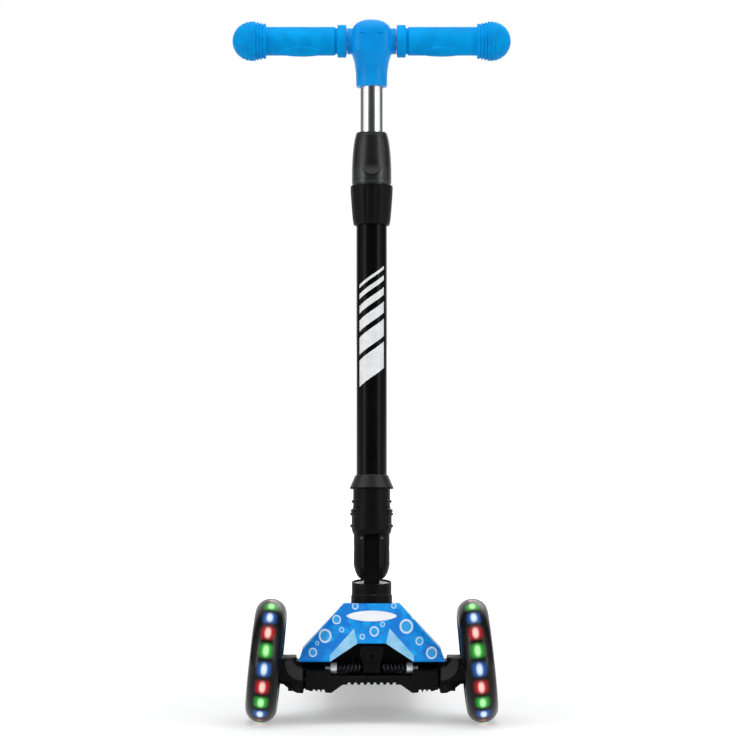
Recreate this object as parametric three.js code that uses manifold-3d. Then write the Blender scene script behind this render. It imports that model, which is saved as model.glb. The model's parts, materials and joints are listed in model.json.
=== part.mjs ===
// Three wheel kids scooter that leans to steer and folds. Millimetres, +Z up, front towards -Y.
// While the pieces are made, Y is counted from the front wheel axle and heights from where the floor
// lies under wheels of these sizes. The last lines set the origin on the floor, under the middle of the
// whole scooter.
import * as THREE from "three";
import { mergeVertices } from "three/addons/utils/BufferGeometryUtils.js";
import Module from "manifold-3d";

const wasm = await Module();
wasm.setup();

// Driving dimensions

// Gaps between pieces: seat where they touch, run where they move, past where a cut overruns.
const gap = { seat: 0.3, run: 0.8, past: 4 };
// Points closer than this are one point.
const weldDistance = 0.001;

// Front wheels: the tyre is a rounded band over a ring of light blocks on a spoked core.
const front = {
  diameter: 120, width: 28, halfTrack: 102, axleZ: 59.75, camberDegrees: 6,
  bandDepth: 19, ringDepth: 2.4, blockRise: 0.9, blockCount: 21, blockFillShare: 0.74, ringWidth: 16,
  rimWidth: 23, rimDepth: 6, hubRadius: 15, hubLength: 24, spokeWidth: 9, spokeThickness: 9,
  spokeCount: 6, boltHeadRadius: 7.4, boltHeadHeight: 3.2,
};

// Rear wheel, of the same make but smaller and with no lights.
const rear = {
  diameter: 80, width: 26, axleY: 440, bandDepth: 14, rimWidth: 21, rimDepth: 4.5,
  hubRadius: 14, hubLength: 24, spokeWidth: 8, spokeThickness: 9, spokeCount: 5, nutHeight: 3.6,
};

// Ball bearings, axles and the tube between two bearings.
const bearing = { radius: 11, width: 7, boreRadius: 4, raceDepth: 2.2, shieldInset: 0.8 };
const axleRadius = 3.7;
const spacerWall = 2.4;

// Axle beam between the front wheels, and the rings of its ribs.
const beam = {
  depth: 32, top: 52, bottom: 30, archBottom: 38, archHalf: 28, footInner: 39, floorTop: 46,
  recessHalf: 40, endX: 63, endBottom: 32, edge: 3, ribCount: 9, ribDepth: 2.2, ribWidth: 3.2,
  pocketWall: 3.2, pocketDepth: 12, footRibs: 3, footRibWidth: 3, footRibDepth: 1.4,
};

// Kingpins: leaning back, with an eye of the beam between the two plates of a knuckle.
const kingpin = {
  x: 76, z: 46, casterDegrees: 20, radius: 3.6, eyeRadius: 7.6, eyeHeight: 10, length: 27,
  headRadius: 6, headHeight: 2.6,
};

// Steering knuckles: a block round the kingpin with a round axle boss on the wheel's side.
const knuckle = {
  outerX: 88, plateRadius: 12, top: 60, crownTop: 69, crownInnerX: 73, bottom: 33, tipBottom: 41,
  bossRadius: 12.5, bossReach: 1.6, halfDepth: 12, armWidth: 10, armHeight: 6, armStudRadius: 2.6,
};

// Tie rod behind the beam, with a slotted block that the deck's lever pushes from side to side.
const tieRod = {
  y: 27, z: 39.8, radius: 3.2, eyeRadius: 6.4, eyeHeight: 6, blockHalf: 14, blockDepth: 12,
  blockHeight: 11, slotHalf: 7.2, leverHalf: 6.2, leverDepth: 7, boltHeadRadius: 4.6,
  boltHeadHeight: 2.4,
};

// Lean pivot: a bolt whose axis runs from the beam's boss down to where the rear wheel meets the floor.
const pivot = {
  y: 9, z: 62, radius: 4, bossRadius: 10, bossLength: 18, lugThickness: 8, lugRadius: 10,
  headRadius: 6.4, headHeight: 3, pedestalHalf: 8, bridgeHalf: 11, bridgeFrontTop: 73.5, bridgeKneeY: 30,
  bridgeKneeTop: 103, threadEnd: 20, spineHalf: 17.2, spineFront: 36, spineBack: 98, spineTop: 60,
};

// Centring springs on each side of the lever that hangs from the front lug.
const spring = {
  z: 53, coilRadius: 4, wireRadius: 0.8, curls: 7, leverHalf: 8, leverLength: 15.4,
  boltRadius: 2, boltLength: 10, headRadius: 4.2, headHeight: 2.4,
};

// Deck: a hollow moulding on ribs, lower and narrower than the nose in front of it.
const deck = {
  halfWidth: 51, noseHalf: 38, top: 56, bottom: 36, wall: 3, startY: 60, shoulderY: 106, taperY: 350,
  endY: 386, cornerRadius: 16, earRadius: 7,
  ribThickness: 2.4, ribCount: 7, padThickness: 2.6, padInset: 3, padRibCount: 14, padRibRise: 1,
  padRibWidth: 3.2, forkHalfOuter: 30, forkThickness: 9, forkEndRadius: 12, forkTop: 56,
};

// Nose cover: a faceted shell with an arched opening in front. The station shares follow these sizes.
const cover = {
  frontOffset: 24, depth: 150, ridge: 113, ridgeHalf: 27, tipHalf: 70, tip: 72, hem: 61, wall: 3,
  archTop: 77, archTopHalf: 14, archFootHalf: 40, facetDepth: 1.2, facetTop: 90.6, facetTopHalf: 17,
  facetFoot: 67, sideArchFront: 17, sideArchBack: 19, sideArchTop: 74,
};
// Each row: place along the length, ridge height and half-width, tip half-width and height, hem height.
const coverStationShares = [
  [0, 0.551, 2.11, 0.943, 0.854, 1],
  [0.1, 0.689, 1.78, 1, 1, 1],
  [0.327, 1, 1, 1, 1, 1],
  [0.6, 0.97, 1.02, 0.87, 0.97, 0.95],
  [1, 0.548, 1.63, 0.74, 0.85, 0.925],
];

// Column: raked back, hinged on a pin above the deck. Its own places are counted up from that pin.
const column = {
  rakeDegrees: 5, pinHeight: 165, baseY: 45, tubeRadius: 15, tubeWall: 1.8, tubeBottom: 50, tubeTop: 352,
  pinRadius: 4,
};
const collar = { radius: 20.2, wall: 2.6, top: 35, height: 34, cutDegrees: 7, bossRadius: 24, bossTop: 60 };
const tongue = { halfWidth: 7, halfDepth: 9, corner: 5.3, flat: 13.3, flatHalf: 8, plugLength: 20 };
const fork = {
  radius: 17.7, shoulder: 13.2, neckRadius: 14.7, slotHalf: 7.6, slotTop: 47, plugRadius: 12.9,
  plugTop: 84, bulletLength: 33,
};
const sleeve = {
  bottom: 13.6, top: 74, radius: 17.6, flangeRadius: 21.2, flange: 59.5, flangeHeight: 3, ribRise: 1.9,
  ribHeight: 2.6, plugHeight: 11, boreGap: 0.5, topRadius: 16.2,
};
// The fork's bullet end: radius, and depth below the pin.
const forkBulletShares = [
  [0.4, 1], [0.66, 0.9], [0.82, 0.78], [0.91, 0.64], [0.94, 0.5], [0.966, 0.28], [1, 0.12],
];
const sleeveRibShares = [0.05, 0.16, 0.37, 0.53];
const clamp = {
  bottom: 320, ringTop: 361, top: 412, ringRadius: 20.8, ringFootRadius: 17.7, skirtRadius: 17,
  skirtBottom: 337, bodyRadius: 19.5, fluteCount: 12, fluteRadius: 1.5,
  bushTop: 366, buttonHalf: 9, buttonBottom: 370, buttonTop: 406, buttonDepth: 5, buttonTravel: 2.5,
};
// Radius and height of the clamp's upper shell, from its seam to its top, and of the fluted ring.
const clampBodyShares = [
  [0.97, 0], [1, 0.06], [1, 0.28], [0.985, 0.42], [0.965, 0.56], [0.925, 0.72], [0.87, 0.86], [0.8, 0.97],
  [0.77, 1],
];
const clampRingShares = [[0.9, 0.2], [0.96, 0.5], [0.99, 0.76], [1, 0.94], [0.985, 1]];
const innerTube = { radius: 11.1, wall: 1.5, bottom: 200 };
const head = {
  bottom: 456, radius: 19.7, footRadius: 15, barRise: 46, crown: 22, socketDepth: 28, stubRadius: 12.2,
  stubHalf: 24.2,
};
// Radius and height of the head, from its foot to its domed top.
const headShares = [
  [0.79, 0.1], [0.83, 0.22], [0.885, 0.36], [0.955, 0.5], [1, 0.62], [1, 0.72], [0.94, 0.82], [0.8, 0.91],
  [0.58, 0.965], [0.3, 0.992],
];
const bar = { radius: 9, wall: 1.6, halfLength: 116 };
const grip = {
  start: 24.6, ringEnd: 35, ringRadius: 16.2, neckRadius: 12.3, radius: 14.2, end: 103, ballRadius: 19.65,
  ballX: 118.4, grooveDepth: 1, grooveCount: 3, grooveStartDegrees: 128, grooveEndDegrees: 80,
  ringNeck: 2.6, padHalfLength: 24, padHalfHeight: 6, padRise: 1.7, padX: 69, padDropDegrees: 22,
};

// Foot brake over the rear wheel, on a pin across the fork.
const brake = {
  halfWidth: 20, thickness: 3.6, clearance: 4.5, pinBack: 52, pinRise: 6, pinRadius: 3, bossRadius: 6.5,
  startDegrees: 158, endDegrees: 38, springRadius: 5.2, wireRadius: 0.7, curls: 4, coilLength: 11,
};

// Flat sides round each kind of round shape, and along the steps of a curl and the wire round it.
const sides = { fender: 40, wheel: 28, tube: 20, boss: 16, bolt: 10, hex: 6, curl: 8, wire: 5 };

// Places that follow from the sizes above

const degrees = THREE.MathUtils.degToRad;
const camber = degrees(front.camberDegrees);
const crownRadius = front.width / 2;
const floorZ = front.axleZ - (front.diameter / 2 - crownRadius) * Math.cos(camber) - crownRadius;
const rearAxleZ = floorZ + rear.diameter / 2;
const leanSlope = Math.atan2(pivot.z - floorZ, rear.axleY - pivot.y);
const caster = degrees(kingpin.casterDegrees);
const rake = degrees(column.rakeDegrees);
const pinY = column.baseY + collar.top * Math.tan(rake);
const collarBottom = -collar.top - collar.height;
const coverBack = -cover.frontOffset + cover.depth;
const brakePinY = rear.axleY - brake.pinBack;
const brakePinZ = deck.forkTop + brake.pinRise;
const forkOuter = deck.forkHalfOuter;
const barAxis = head.bottom + head.barRise;
const innerTubeTop = head.bottom + head.socketDepth;
// Middle of the front lug and of the springs, counted along the lean axis and from the front axle.
const lugMiddle = -pivot.bossLength / 2 - gap.run - pivot.lugThickness / 2;
const springY = pivot.y + lugMiddle;
// Inner end of a front axle bolt, short of the kingpin.
const axleInnerX = kingpin.x + kingpin.radius + gap.run;
const axleDepth = (front.halfTrack - axleInnerX) / Math.cos(camber);

// Solids

function solid(geometry) {
  const bare = new THREE.BufferGeometry();
  bare.setAttribute("position", geometry.getAttribute("position").clone());
  if (geometry.index) bare.setIndex(geometry.index.clone());
  const merged = mergeVertices(bare, weldDistance);
  const index = merged.index.array;
  const kept = [];
  for (let i = 0; i < index.length; i += 3) {
    const [a, b, c] = [index[i], index[i + 1], index[i + 2]];
    if (a !== b && b !== c && c !== a) kept.push(a, b, c);
  }
  const vertProperties = new Float32Array(merged.getAttribute("position").array);
  const build = (triVerts) => new wasm.Manifold(new wasm.Mesh({ numProp: 3, vertProperties, triVerts }));
  const made = build(new Uint32Array(kept));
  if (made.volume() > 0) return made;
  const flipped = [];
  for (let i = 0; i < kept.length; i += 3) flipped.push(kept[i], kept[i + 2], kept[i + 1]);
  return build(new Uint32Array(flipped));
}

function geometryOf(made) {
  const mesh = made.getMesh();
  const points = [];
  for (let i = 0; i < mesh.vertProperties.length; i += mesh.numProp) {
    points.push(mesh.vertProperties[i], mesh.vertProperties[i + 1], mesh.vertProperties[i + 2]);
  }
  const geometry = new THREE.BufferGeometry();
  geometry.setAttribute("position", new THREE.BufferAttribute(new Float32Array(points), 3));
  geometry.setIndex(new THREE.BufferAttribute(new Uint32Array(mesh.triVerts), 1));
  return geometry;
}

function cut(base, ...tools) {
  return geometryOf(tools.reduce((made, tool) => made.subtract(solid(tool)), solid(base)));
}

function join(base, ...more) {
  return geometryOf(more.reduce((made, tool) => made.add(solid(tool)), solid(base)));
}

function common(base, tool) {
  return geometryOf(solid(base).intersect(solid(tool)));
}

function mirrored(geometry) {
  const copy = geometry.clone().scale(-1, 1, 1);
  const index = copy.index.array;
  for (let i = 0; i < index.length; i += 3) [index[i + 1], index[i + 2]] = [index[i + 2], index[i + 1]];
  return copy;
}

// Turns a shape made along +Z so that it runs along another row axis.
function along(geometry, axis) {
  const basis = new THREE.Matrix4();
  const [x, y, z] = [new THREE.Vector3(1, 0, 0), new THREE.Vector3(0, 1, 0), new THREE.Vector3(0, 0, 1)];
  if (axis === "x") basis.makeBasis(y, z, x);
  if (axis === "y") basis.makeBasis(x, z, y.negate());
  return geometry.applyMatrix4(basis);
}

function box(minX, maxX, minY, maxY, minZ, maxZ) {
  const made = new THREE.BoxGeometry(maxX - minX, maxY - minY, maxZ - minZ);
  return made.translate((minX + maxX) / 2, (minY + maxY) / 2, (minZ + maxZ) / 2);
}

// A round bar from low to high along an axis through the origin.
function rod(radius, low, high, axis = "z", facets = sides.bolt) {
  const made = new THREE.CylinderGeometry(radius, radius, high - low, facets).rotateX(Math.PI / 2);
  const middle = (low + high) / 2;
  return along(made.translate(0, 0, axis === "y" ? -middle : middle), axis);
}

// A profile of [radius, height] points, closed on itself or on the axis, turned about an axis.
function turned(profile, axis = "z", facets = sides.tube) {
  const points = profile.map(([radius, height]) => new THREE.Vector2(radius, height));
  const onAxis = profile[0][0] === 0 && profile[profile.length - 1][0] === 0;
  if (!onAxis) points.push(points[0].clone());
  return along(new THREE.LatheGeometry(points, facets).rotateX(Math.PI / 2), axis);
}

// An outline of [a, b] points pushed through a depth that is centred on the outline's plane.
function extruded(outline, depth, axis = "z") {
  const flat = (points) => points.map(([a, b]) => new THREE.Vector2(a, b));
  const shape = outline instanceof THREE.Shape ? outline : new THREE.Shape(flat(outline));
  const made = new THREE.ExtrudeGeometry(shape, { depth, bevelEnabled: false });
  return along(made.translate(0, 0, -depth / 2), axis);
}

function arc(centreA, centreB, radius, fromDegrees, toDegrees, steps) {
  const points = [];
  for (let i = 0; i <= steps; i++) {
    const angle = degrees(fromDegrees + ((toDegrees - fromDegrees) * i) / steps);
    points.push([centreA + radius * Math.cos(angle), centreB + radius * Math.sin(angle)]);
  }
  return points;
}

// A shape that passes through rings of points, all with the same count, and is closed at both ends.
function lofted(rings) {
  const count = rings[0].length;
  const positions = rings.flat(2);
  const index = [];
  for (let r = 0; r + 1 < rings.length; r++) {
    for (let i = 0; i < count; i++) {
      const [a, b] = [r * count + i, r * count + ((i + 1) % count)];
      index.push(a, b, b + count, a, b + count, a + count);
    }
  }
  const last = (rings.length - 1) * count;
  for (let i = 1; i + 1 < count; i++) {
    index.push(0, i + 1, i);
    index.push(last, last + i, last + i + 1);
  }
  const geometry = new THREE.BufferGeometry();
  geometry.setAttribute("position", new THREE.BufferAttribute(new Float32Array(positions), 3));
  geometry.setIndex(index);
  return geometry;
}

// One unbroken wire wound about the X axis, whose two ends run straight for one wire's thickness.
function coil(coilRadius, wireRadius, length, curls) {
  const count = curls * sides.curl;
  const rise = length / (curls * 2 * Math.PI);
  const rings = [];
  const addRing = (turn, straight) => {
    const axis = new THREE.Vector3(rise * turn, 0, 0);
    const outward = new THREE.Vector3(0, Math.cos(turn), Math.sin(turn));
    const onward = new THREE.Vector3(rise, -coilRadius * Math.sin(turn), coilRadius * Math.cos(turn));
    const across = new THREE.Vector3().crossVectors(onward.normalize(), outward);
    const ring = [];
    for (let s = 0; s < sides.wire; s++) {
      const angle = (s / sides.wire) * 2 * Math.PI;
      const point = axis.clone().addScaledVector(outward, coilRadius + wireRadius * Math.cos(angle));
      point.addScaledVector(across, wireRadius * Math.sin(angle)).addScaledVector(onward, straight);
      ring.push(point.toArray());
    }
    rings.push(ring);
  };
  addRing(0, -2 * wireRadius);
  for (let i = 0; i <= count; i++) addRing((i / sides.curl) * 2 * Math.PI, 0);
  addRing(curls * 2 * Math.PI, 2 * wireRadius);

  let least = Infinity;
  const points = rings.map((ring) => ring.map((point) => new THREE.Vector3(...point)));
  for (let i = 0; i < points.length; i++) {
    for (let j = i + sides.curl / 2; j < points.length; j++) {
      for (const a of points[i]) for (const b of points[j]) least = Math.min(least, a.distanceTo(b));
    }
  }
  console.log(`Coil of ${curls} curls: least gap to itself ${least.toFixed(2)} mm`);
  return lofted(rings);
}

// Assembly

const scooter = new THREE.Group();
const finish = (color, roughness, metalness = 0) =>
  new THREE.MeshStandardMaterial({ color, roughness, metalness });
const finishes = {
  softBlue: finish(0x0090dc, 0.6),
  gripBlue: finish(0x009ce8, 0.75),
  printBlue: finish(0x1f8fe0, 0.35),
  blackPlastic: finish(0x161718, 0.5),
  blackTube: finish(0x060607, 0.3, 0.2),
  tyre: finish(0x0b0b0d, 0.15),
  lights: finish(0x63d878, 0.3),
  steel: finish(0xb9bcc0, 0.3, 1),
  chrome: finish(0xe4e6e8, 0.12, 1),
  pad: finish(0x1b1d1f, 0.8),
  nylon: finish(0xe6e4dc, 0.5),
};

function add(name, geometry, material, parent = scooter) {
  const mesh = new THREE.Mesh(geometryOf(solid(geometry)), material);
  mesh.name = name;
  parent.add(mesh);
}

// Wheels. Each is made on an axis along X with its outer side towards +X.

function tyreGeometry(size, grooveRadius) {
  const bore = size.diameter / 2 - size.bandDepth;
  const half = size.width / 2;
  const crown = size.diameter / 2 - half;
  const land = size.rimWidth / 2;
  const profile = [[bore, -land]];
  if (grooveRadius) {
    const groove = size.ringWidth / 2 + gap.seat;
    profile.push([bore, -groove], [grooveRadius, -groove], [grooveRadius, groove], [bore, groove]);
  }
  profile.push([bore, land], ...arc(crown, 0, half, 90, -90, 6));
  return turned(profile, "x", sides.wheel);
}

function lightRingGeometry() {
  const inner = front.diameter / 2 - front.bandDepth + gap.seat;
  const low = inner + front.ringDepth;
  const high = low + front.blockRise;
  const pitch = 360 / front.blockCount;
  const outline = [];
  for (let i = 0; i < front.blockCount; i++) {
    const start = i * pitch;
    const end = start + pitch * front.blockFillShare;
    outline.push(...arc(0, 0, high, start, end, 1), ...arc(0, 0, low, end, start + pitch, 1));
  }
  const shape = new THREE.Shape(outline.map(([a, b]) => new THREE.Vector2(a, b)));
  const hole = arc(0, 0, inner, 0, 360 - pitch, front.blockCount - 1);
  shape.holes.push(new THREE.Path(hole.map(([a, b]) => new THREE.Vector2(a, b))));
  return extruded(shape, front.ringWidth, "x");
}

function coreGeometry(size) {
  const rim = size.diameter / 2 - size.bandDepth - gap.seat;
  const floor = rim - size.rimDepth;
  const half = size.rimWidth / 2;
  const hub = size.hubLength / 2;
  const seat = bearing.radius + gap.seat;
  const seatDepth = bearing.width + gap.seat;
  const middle = bearing.radius - bearing.raceDepth;
  const rimRing = turned([[floor, -half], [rim, -half], [rim, half], [floor, half]], "x", sides.wheel);
  const hubTube = turned([
    [middle, seatDepth - hub], [seat, seatDepth - hub], [seat, -hub], [size.hubRadius, -hub],
    [size.hubRadius, hub], [seat, hub], [seat, hub - seatDepth], [middle, hub - seatDepth],
  ], "x", sides.boss);
  const spokes = [];
  const narrow = size.spokeWidth / 2;
  const inner = (size.hubRadius + seat) / 2;
  const outer = floor + size.rimDepth / 2;
  for (let i = 0; i < size.spokeCount; i++) {
    const wide = size.spokeWidth;
    const outline = [[-narrow, inner], [narrow, inner], [wide, outer], [-wide, outer]];
    const spoke = extruded(outline, size.spokeThickness, "x");
    spokes.push(spoke.rotateX((i / size.spokeCount) * 2 * Math.PI));
  }
  return join(rimRing, hubTube, ...spokes);
}

function bearingGeometry() {
  const half = bearing.width / 2;
  const inset = half - bearing.shieldInset;
  const [inner, outer] = [bearing.boreRadius, bearing.radius];
  const [low, high] = [inner + bearing.raceDepth, outer - bearing.raceDepth];
  const middle = (low + high) / 2;
  return turned([
    [inner, -half], [middle, -inset], [outer, -half], [outer, half], [middle, inset], [inner, half],
  ], "x", sides.bolt);
}

function spacerGeometry(size) {
  const half = size.hubLength / 2 - bearing.width - gap.seat;
  const outer = bearing.boreRadius + spacerWall;
  const profile = [[bearing.boreRadius, -half], [outer, -half], [outer, half], [bearing.boreRadius, half]];
  return turned(profile, "x", sides.bolt);
}

function boltGeometry(low, high, radius, headRadius, headHeight, axis = "x") {
  const shank = rod(radius, low, high + headHeight / 4, axis);
  const cap = rod(headRadius, high, high + headHeight, axis);
  const socket = rod(headRadius / 2, high + headHeight / 3, high + headHeight + gap.past, axis, sides.hex);
  return cut(join(shank, cap), socket);
}

function addWheel(parent, suffix, size, lit) {
  const bore = size.diameter / 2 - size.bandDepth;
  const groove = lit ? bore + 2 * gap.seat + size.ringDepth + size.blockRise : 0;
  add(`tyre_${suffix}`, tyreGeometry(size, groove), finishes.tyre, parent);
  if (lit) add(`light_ring_${suffix}`, lightRingGeometry(), finishes.lights, parent);
  add(`wheel_core_${suffix}`, coreGeometry(size), finishes.blackPlastic, parent);
  const place = (size.hubLength - bearing.width) / 2;
  add(`bearing_outer_${suffix}`, bearingGeometry().translate(place, 0, 0), finishes.steel, parent);
  add(`bearing_inner_${suffix}`, bearingGeometry().translate(-place, 0, 0), finishes.steel, parent);
  add(`bearing_spacer_${suffix}`, spacerGeometry(size), finishes.steel, parent);
}

for (const [suffix, turn] of [["right", 0], ["left", Math.PI]]) {
  const sideGroup = new THREE.Group();
  sideGroup.rotation.z = turn;
  const hubGroup = new THREE.Group();
  hubGroup.position.set(front.halfTrack, 0, front.axleZ);
  hubGroup.rotation.y = -camber;
  sideGroup.add(hubGroup);
  scooter.add(sideGroup);
  addWheel(hubGroup, suffix, front, true);
  const bolt = boltGeometry(-axleDepth, front.hubLength / 2 + gap.seat, axleRadius, front.boltHeadRadius,
    front.boltHeadHeight);
  add(`axle_bolt_${suffix}`, bolt, finishes.steel, hubGroup);
}

const rearGroup = new THREE.Group();
rearGroup.position.set(0, rear.axleY, rearAxleZ);
scooter.add(rearGroup);
addWheel(rearGroup, "rear", rear, false);

// Front axle

// Moves a shape made about the origin so that its Z axis is the right kingpin.
function atKingpin(geometry) {
  return geometry.rotateX(-caster).translate(kingpin.x, 0, kingpin.z);
}

// Moves a shape made along Y so that it lies on the lean axis, with its origin at the pivot.
function atPivot(geometry) {
  return geometry.rotateX(-leanSlope).translate(0, pivot.y, pivot.z);
}

function beamGeometry() {
  const half = [
    [beam.archHalf, beam.archBottom], [beam.footInner, beam.bottom],
    [beam.endX - beam.edge, beam.endBottom], [beam.endX, beam.endBottom + beam.edge],
    [beam.endX, beam.top - beam.edge], [beam.endX - beam.edge, beam.top], [beam.recessHalf, beam.top],
    [beam.recessHalf, beam.floorTop],
  ];
  const outline = [...half, ...half.map(([x, z]) => [-x, z]).reverse()];
  const bossHalf = pivot.bossLength / 2;
  const boss = atPivot(rod(pivot.bossRadius, -bossHalf, bossHalf, "y", sides.boss));
  const pedestal = box(-pivot.pedestalHalf, pivot.pedestalHalf, pivot.y - bossHalf + gap.run,
    pivot.y + bossHalf - 4 * gap.run, beam.archBottom + beam.edge, pivot.z);
  const pieces = [boss, pedestal];
  for (const side of [1, -1]) {
    const eye = rod(kingpin.eyeRadius, -kingpin.eyeHeight / 2, kingpin.eyeHeight / 2);
    const arm = box(beam.endX - beam.pocketDepth / 2 - kingpin.x, 0, -kingpin.eyeRadius, kingpin.eyeRadius,
      -kingpin.eyeHeight / 2, kingpin.eyeHeight / 2);
    pieces.push(...[eye, arm].map((made) => (side > 0 ? atKingpin(made) : mirrored(atKingpin(made)))));
  }
  const body = join(extruded(outline, beam.depth, "y"), ...pieces);

  const cuts = [];
  const pitch = (2 * beam.archHalf) / beam.ribCount;
  for (let i = 0; i < beam.ribCount - 1; i++) {
    const x = (i + 1) * pitch - beam.archHalf;
    const half = (pitch - beam.ribWidth) / 2;
    cuts.push(box(x - half, x + half, -beam.depth, beam.depth, 0, beam.archBottom + beam.ribDepth));
  }
  const wall = beam.pocketWall;
  const low = beam.footInner + wall;
  const high = beam.endX - wall;
  const middle = (low + high) / 2;
  for (const side of [1, -1]) {
    for (const [from, to] of [[low, middle - wall / 2], [middle + wall / 2, high]]) {
      const [minX, maxX] = side > 0 ? [from, to] : [-to, -from];
      const back = beam.depth / 2;
      cuts.push(box(minX, maxX, back - beam.pocketDepth, back + gap.past, beam.endBottom + wall,
        beam.top - wall));
    }
    for (let i = 0; i < beam.footRibs; i++) {
      const x = side * (low + ((high - low) * (i + 1)) / (beam.footRibs + 1));
      cuts.push(box(x - beam.footRibWidth / 2, x + beam.footRibWidth / 2, -beam.depth, beam.depth,
        0, beam.endBottom + beam.footRibDepth));
    }
    const hole = atKingpin(rod(kingpin.radius + gap.seat, -kingpin.length, kingpin.length));
    cuts.push(side > 0 ? hole : mirrored(hole));
    const bolt = rod(spring.boltRadius + gap.seat, 0, beam.recessHalf + spring.boltLength / 2, "x");
    bolt.translate(0, springY, spring.z);
    cuts.push(side > 0 ? bolt : mirrored(bolt));
  }
  cuts.push(atPivot(rod(pivot.radius + gap.seat, -beam.depth, beam.depth, "y")));
  return cut(body, ...cuts);
}

add("axle_beam", beamGeometry(), finishes.blackPlastic);

function knuckleGeometry() {
  const inner = kingpin.x - knuckle.plateRadius;
  const bevel = beam.edge;
  const outline = [
    [inner, knuckle.bottom], [knuckle.crownInnerX + bevel, knuckle.bottom],
    [knuckle.outerX, knuckle.tipBottom], [knuckle.outerX, knuckle.crownTop - bevel],
    [knuckle.outerX - bevel, knuckle.crownTop],
    [knuckle.crownInnerX + bevel, knuckle.crownTop], [knuckle.crownInnerX, knuckle.crownTop - bevel],
    [knuckle.crownInnerX, knuckle.top], [inner, knuckle.top],
  ];
  const block = extruded(outline, 4 * knuckle.plateRadius, "y");
  const reach = knuckle.outerX - kingpin.x;
  const plan = [
    ...arc(0, 0, knuckle.plateRadius, 90, 270, 8), [reach, -knuckle.halfDepth], [reach, knuckle.halfDepth],
  ];
  const height = knuckle.crownTop - knuckle.bottom;
  const body = common(block, atKingpin(extruded(plan, 2 * height)));

  const armTop = tieRod.z - tieRod.eyeHeight / 2 - gap.run;
  const armHalf = knuckle.armWidth / 2;
  const armLow = armTop - knuckle.armHeight;
  const arm = box(kingpin.x - armHalf, kingpin.x + armHalf, 0, tieRod.y, armLow, armTop);
  const armEnd = rod(armHalf, armLow, armTop).translate(kingpin.x, tieRod.y, 0);
  const bossZ = front.axleZ - (front.halfTrack - knuckle.outerX) * Math.tan(camber);
  const boss = rod(knuckle.bossRadius, -bevel, knuckle.bossReach, "x", sides.boss);
  boss.rotateY(-camber).translate(knuckle.outerX, 0, bossZ);

  const slotHalf = kingpin.eyeHeight / 2 + gap.run / 2;
  const slot = box(-2 * knuckle.plateRadius, kingpin.eyeRadius + gap.run, -2 * knuckle.plateRadius,
    2 * knuckle.plateRadius, -slotHalf, slotHalf);
  const pinTop = kingpin.length / 2 + gap.seat;
  const hole = rod(kingpin.radius + gap.seat, -kingpin.length, pinTop);
  const sinkTop = -kingpin.length / 2 + kingpin.headHeight;
  const sink = rod(kingpin.headRadius + gap.seat, -kingpin.length, sinkTop);
  const axle = rod(axleRadius + gap.seat, -axleDepth - gap.seat, 0, "x");
  axle.rotateY(-camber).translate(front.halfTrack, 0, front.axleZ);
  const boltHole = rod(knuckle.armStudRadius + gap.seat, 0, kingpin.z).translate(kingpin.x, tieRod.y, 0);
  const pinCuts = [slot, hole, sink].map(atKingpin);
  return cut(join(body, arm, armEnd, boss), ...pinCuts, axle, boltHole);
}

function kingpinGeometry() {
  const low = -kingpin.length / 2 + kingpin.headHeight - gap.seat;
  const high = kingpin.length / 2;
  const pin = boltGeometry(-high, -low, kingpin.radius, kingpin.headRadius, kingpin.headHeight, "z");
  return atKingpin(pin.rotateY(Math.PI));
}

function rodBoltGeometry() {
  const low = tieRod.z - tieRod.eyeHeight / 2 - gap.run - knuckle.armHeight;
  const high = tieRod.z + tieRod.eyeHeight / 2 + gap.run;
  const bolt = boltGeometry(low, high, knuckle.armStudRadius, tieRod.boltHeadRadius,
    tieRod.boltHeadHeight, "z");
  return bolt.translate(kingpin.x, tieRod.y, 0);
}

function springBoltGeometry() {
  const head = spring.headHeight;
  const inner = beam.recessHalf - gap.seat - head;
  const bolt = boltGeometry(-beam.recessHalf - spring.boltLength / 2 + gap.seat, -inner - head,
    spring.boltRadius, spring.headRadius, head, "x");
  return mirrored(bolt).translate(0, springY, spring.z);
}

function springGeometry() {
  const start = spring.leverHalf + spring.wireRadius + gap.seat;
  const end = beam.recessHalf - spring.headHeight - spring.wireRadius - 3 * gap.seat;
  const wire = coil(spring.coilRadius, spring.wireRadius, end - start, spring.curls);
  return wire.translate(start, springY, spring.z);
}

for (const [suffix, sided] of [["right", (geometry) => geometry], ["left", mirrored]]) {
  add(`knuckle_${suffix}`, sided(knuckleGeometry()), finishes.blackPlastic);
  add(`kingpin_${suffix}`, sided(kingpinGeometry()), finishes.steel);
  add(`tie_rod_bolt_${suffix}`, sided(rodBoltGeometry()), finishes.steel);
  add(`spring_bolt_${suffix}`, sided(springBoltGeometry()), finishes.chrome);
  add(`centring_spring_${suffix}`, sided(springGeometry()), finishes.chrome);
}

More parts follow.
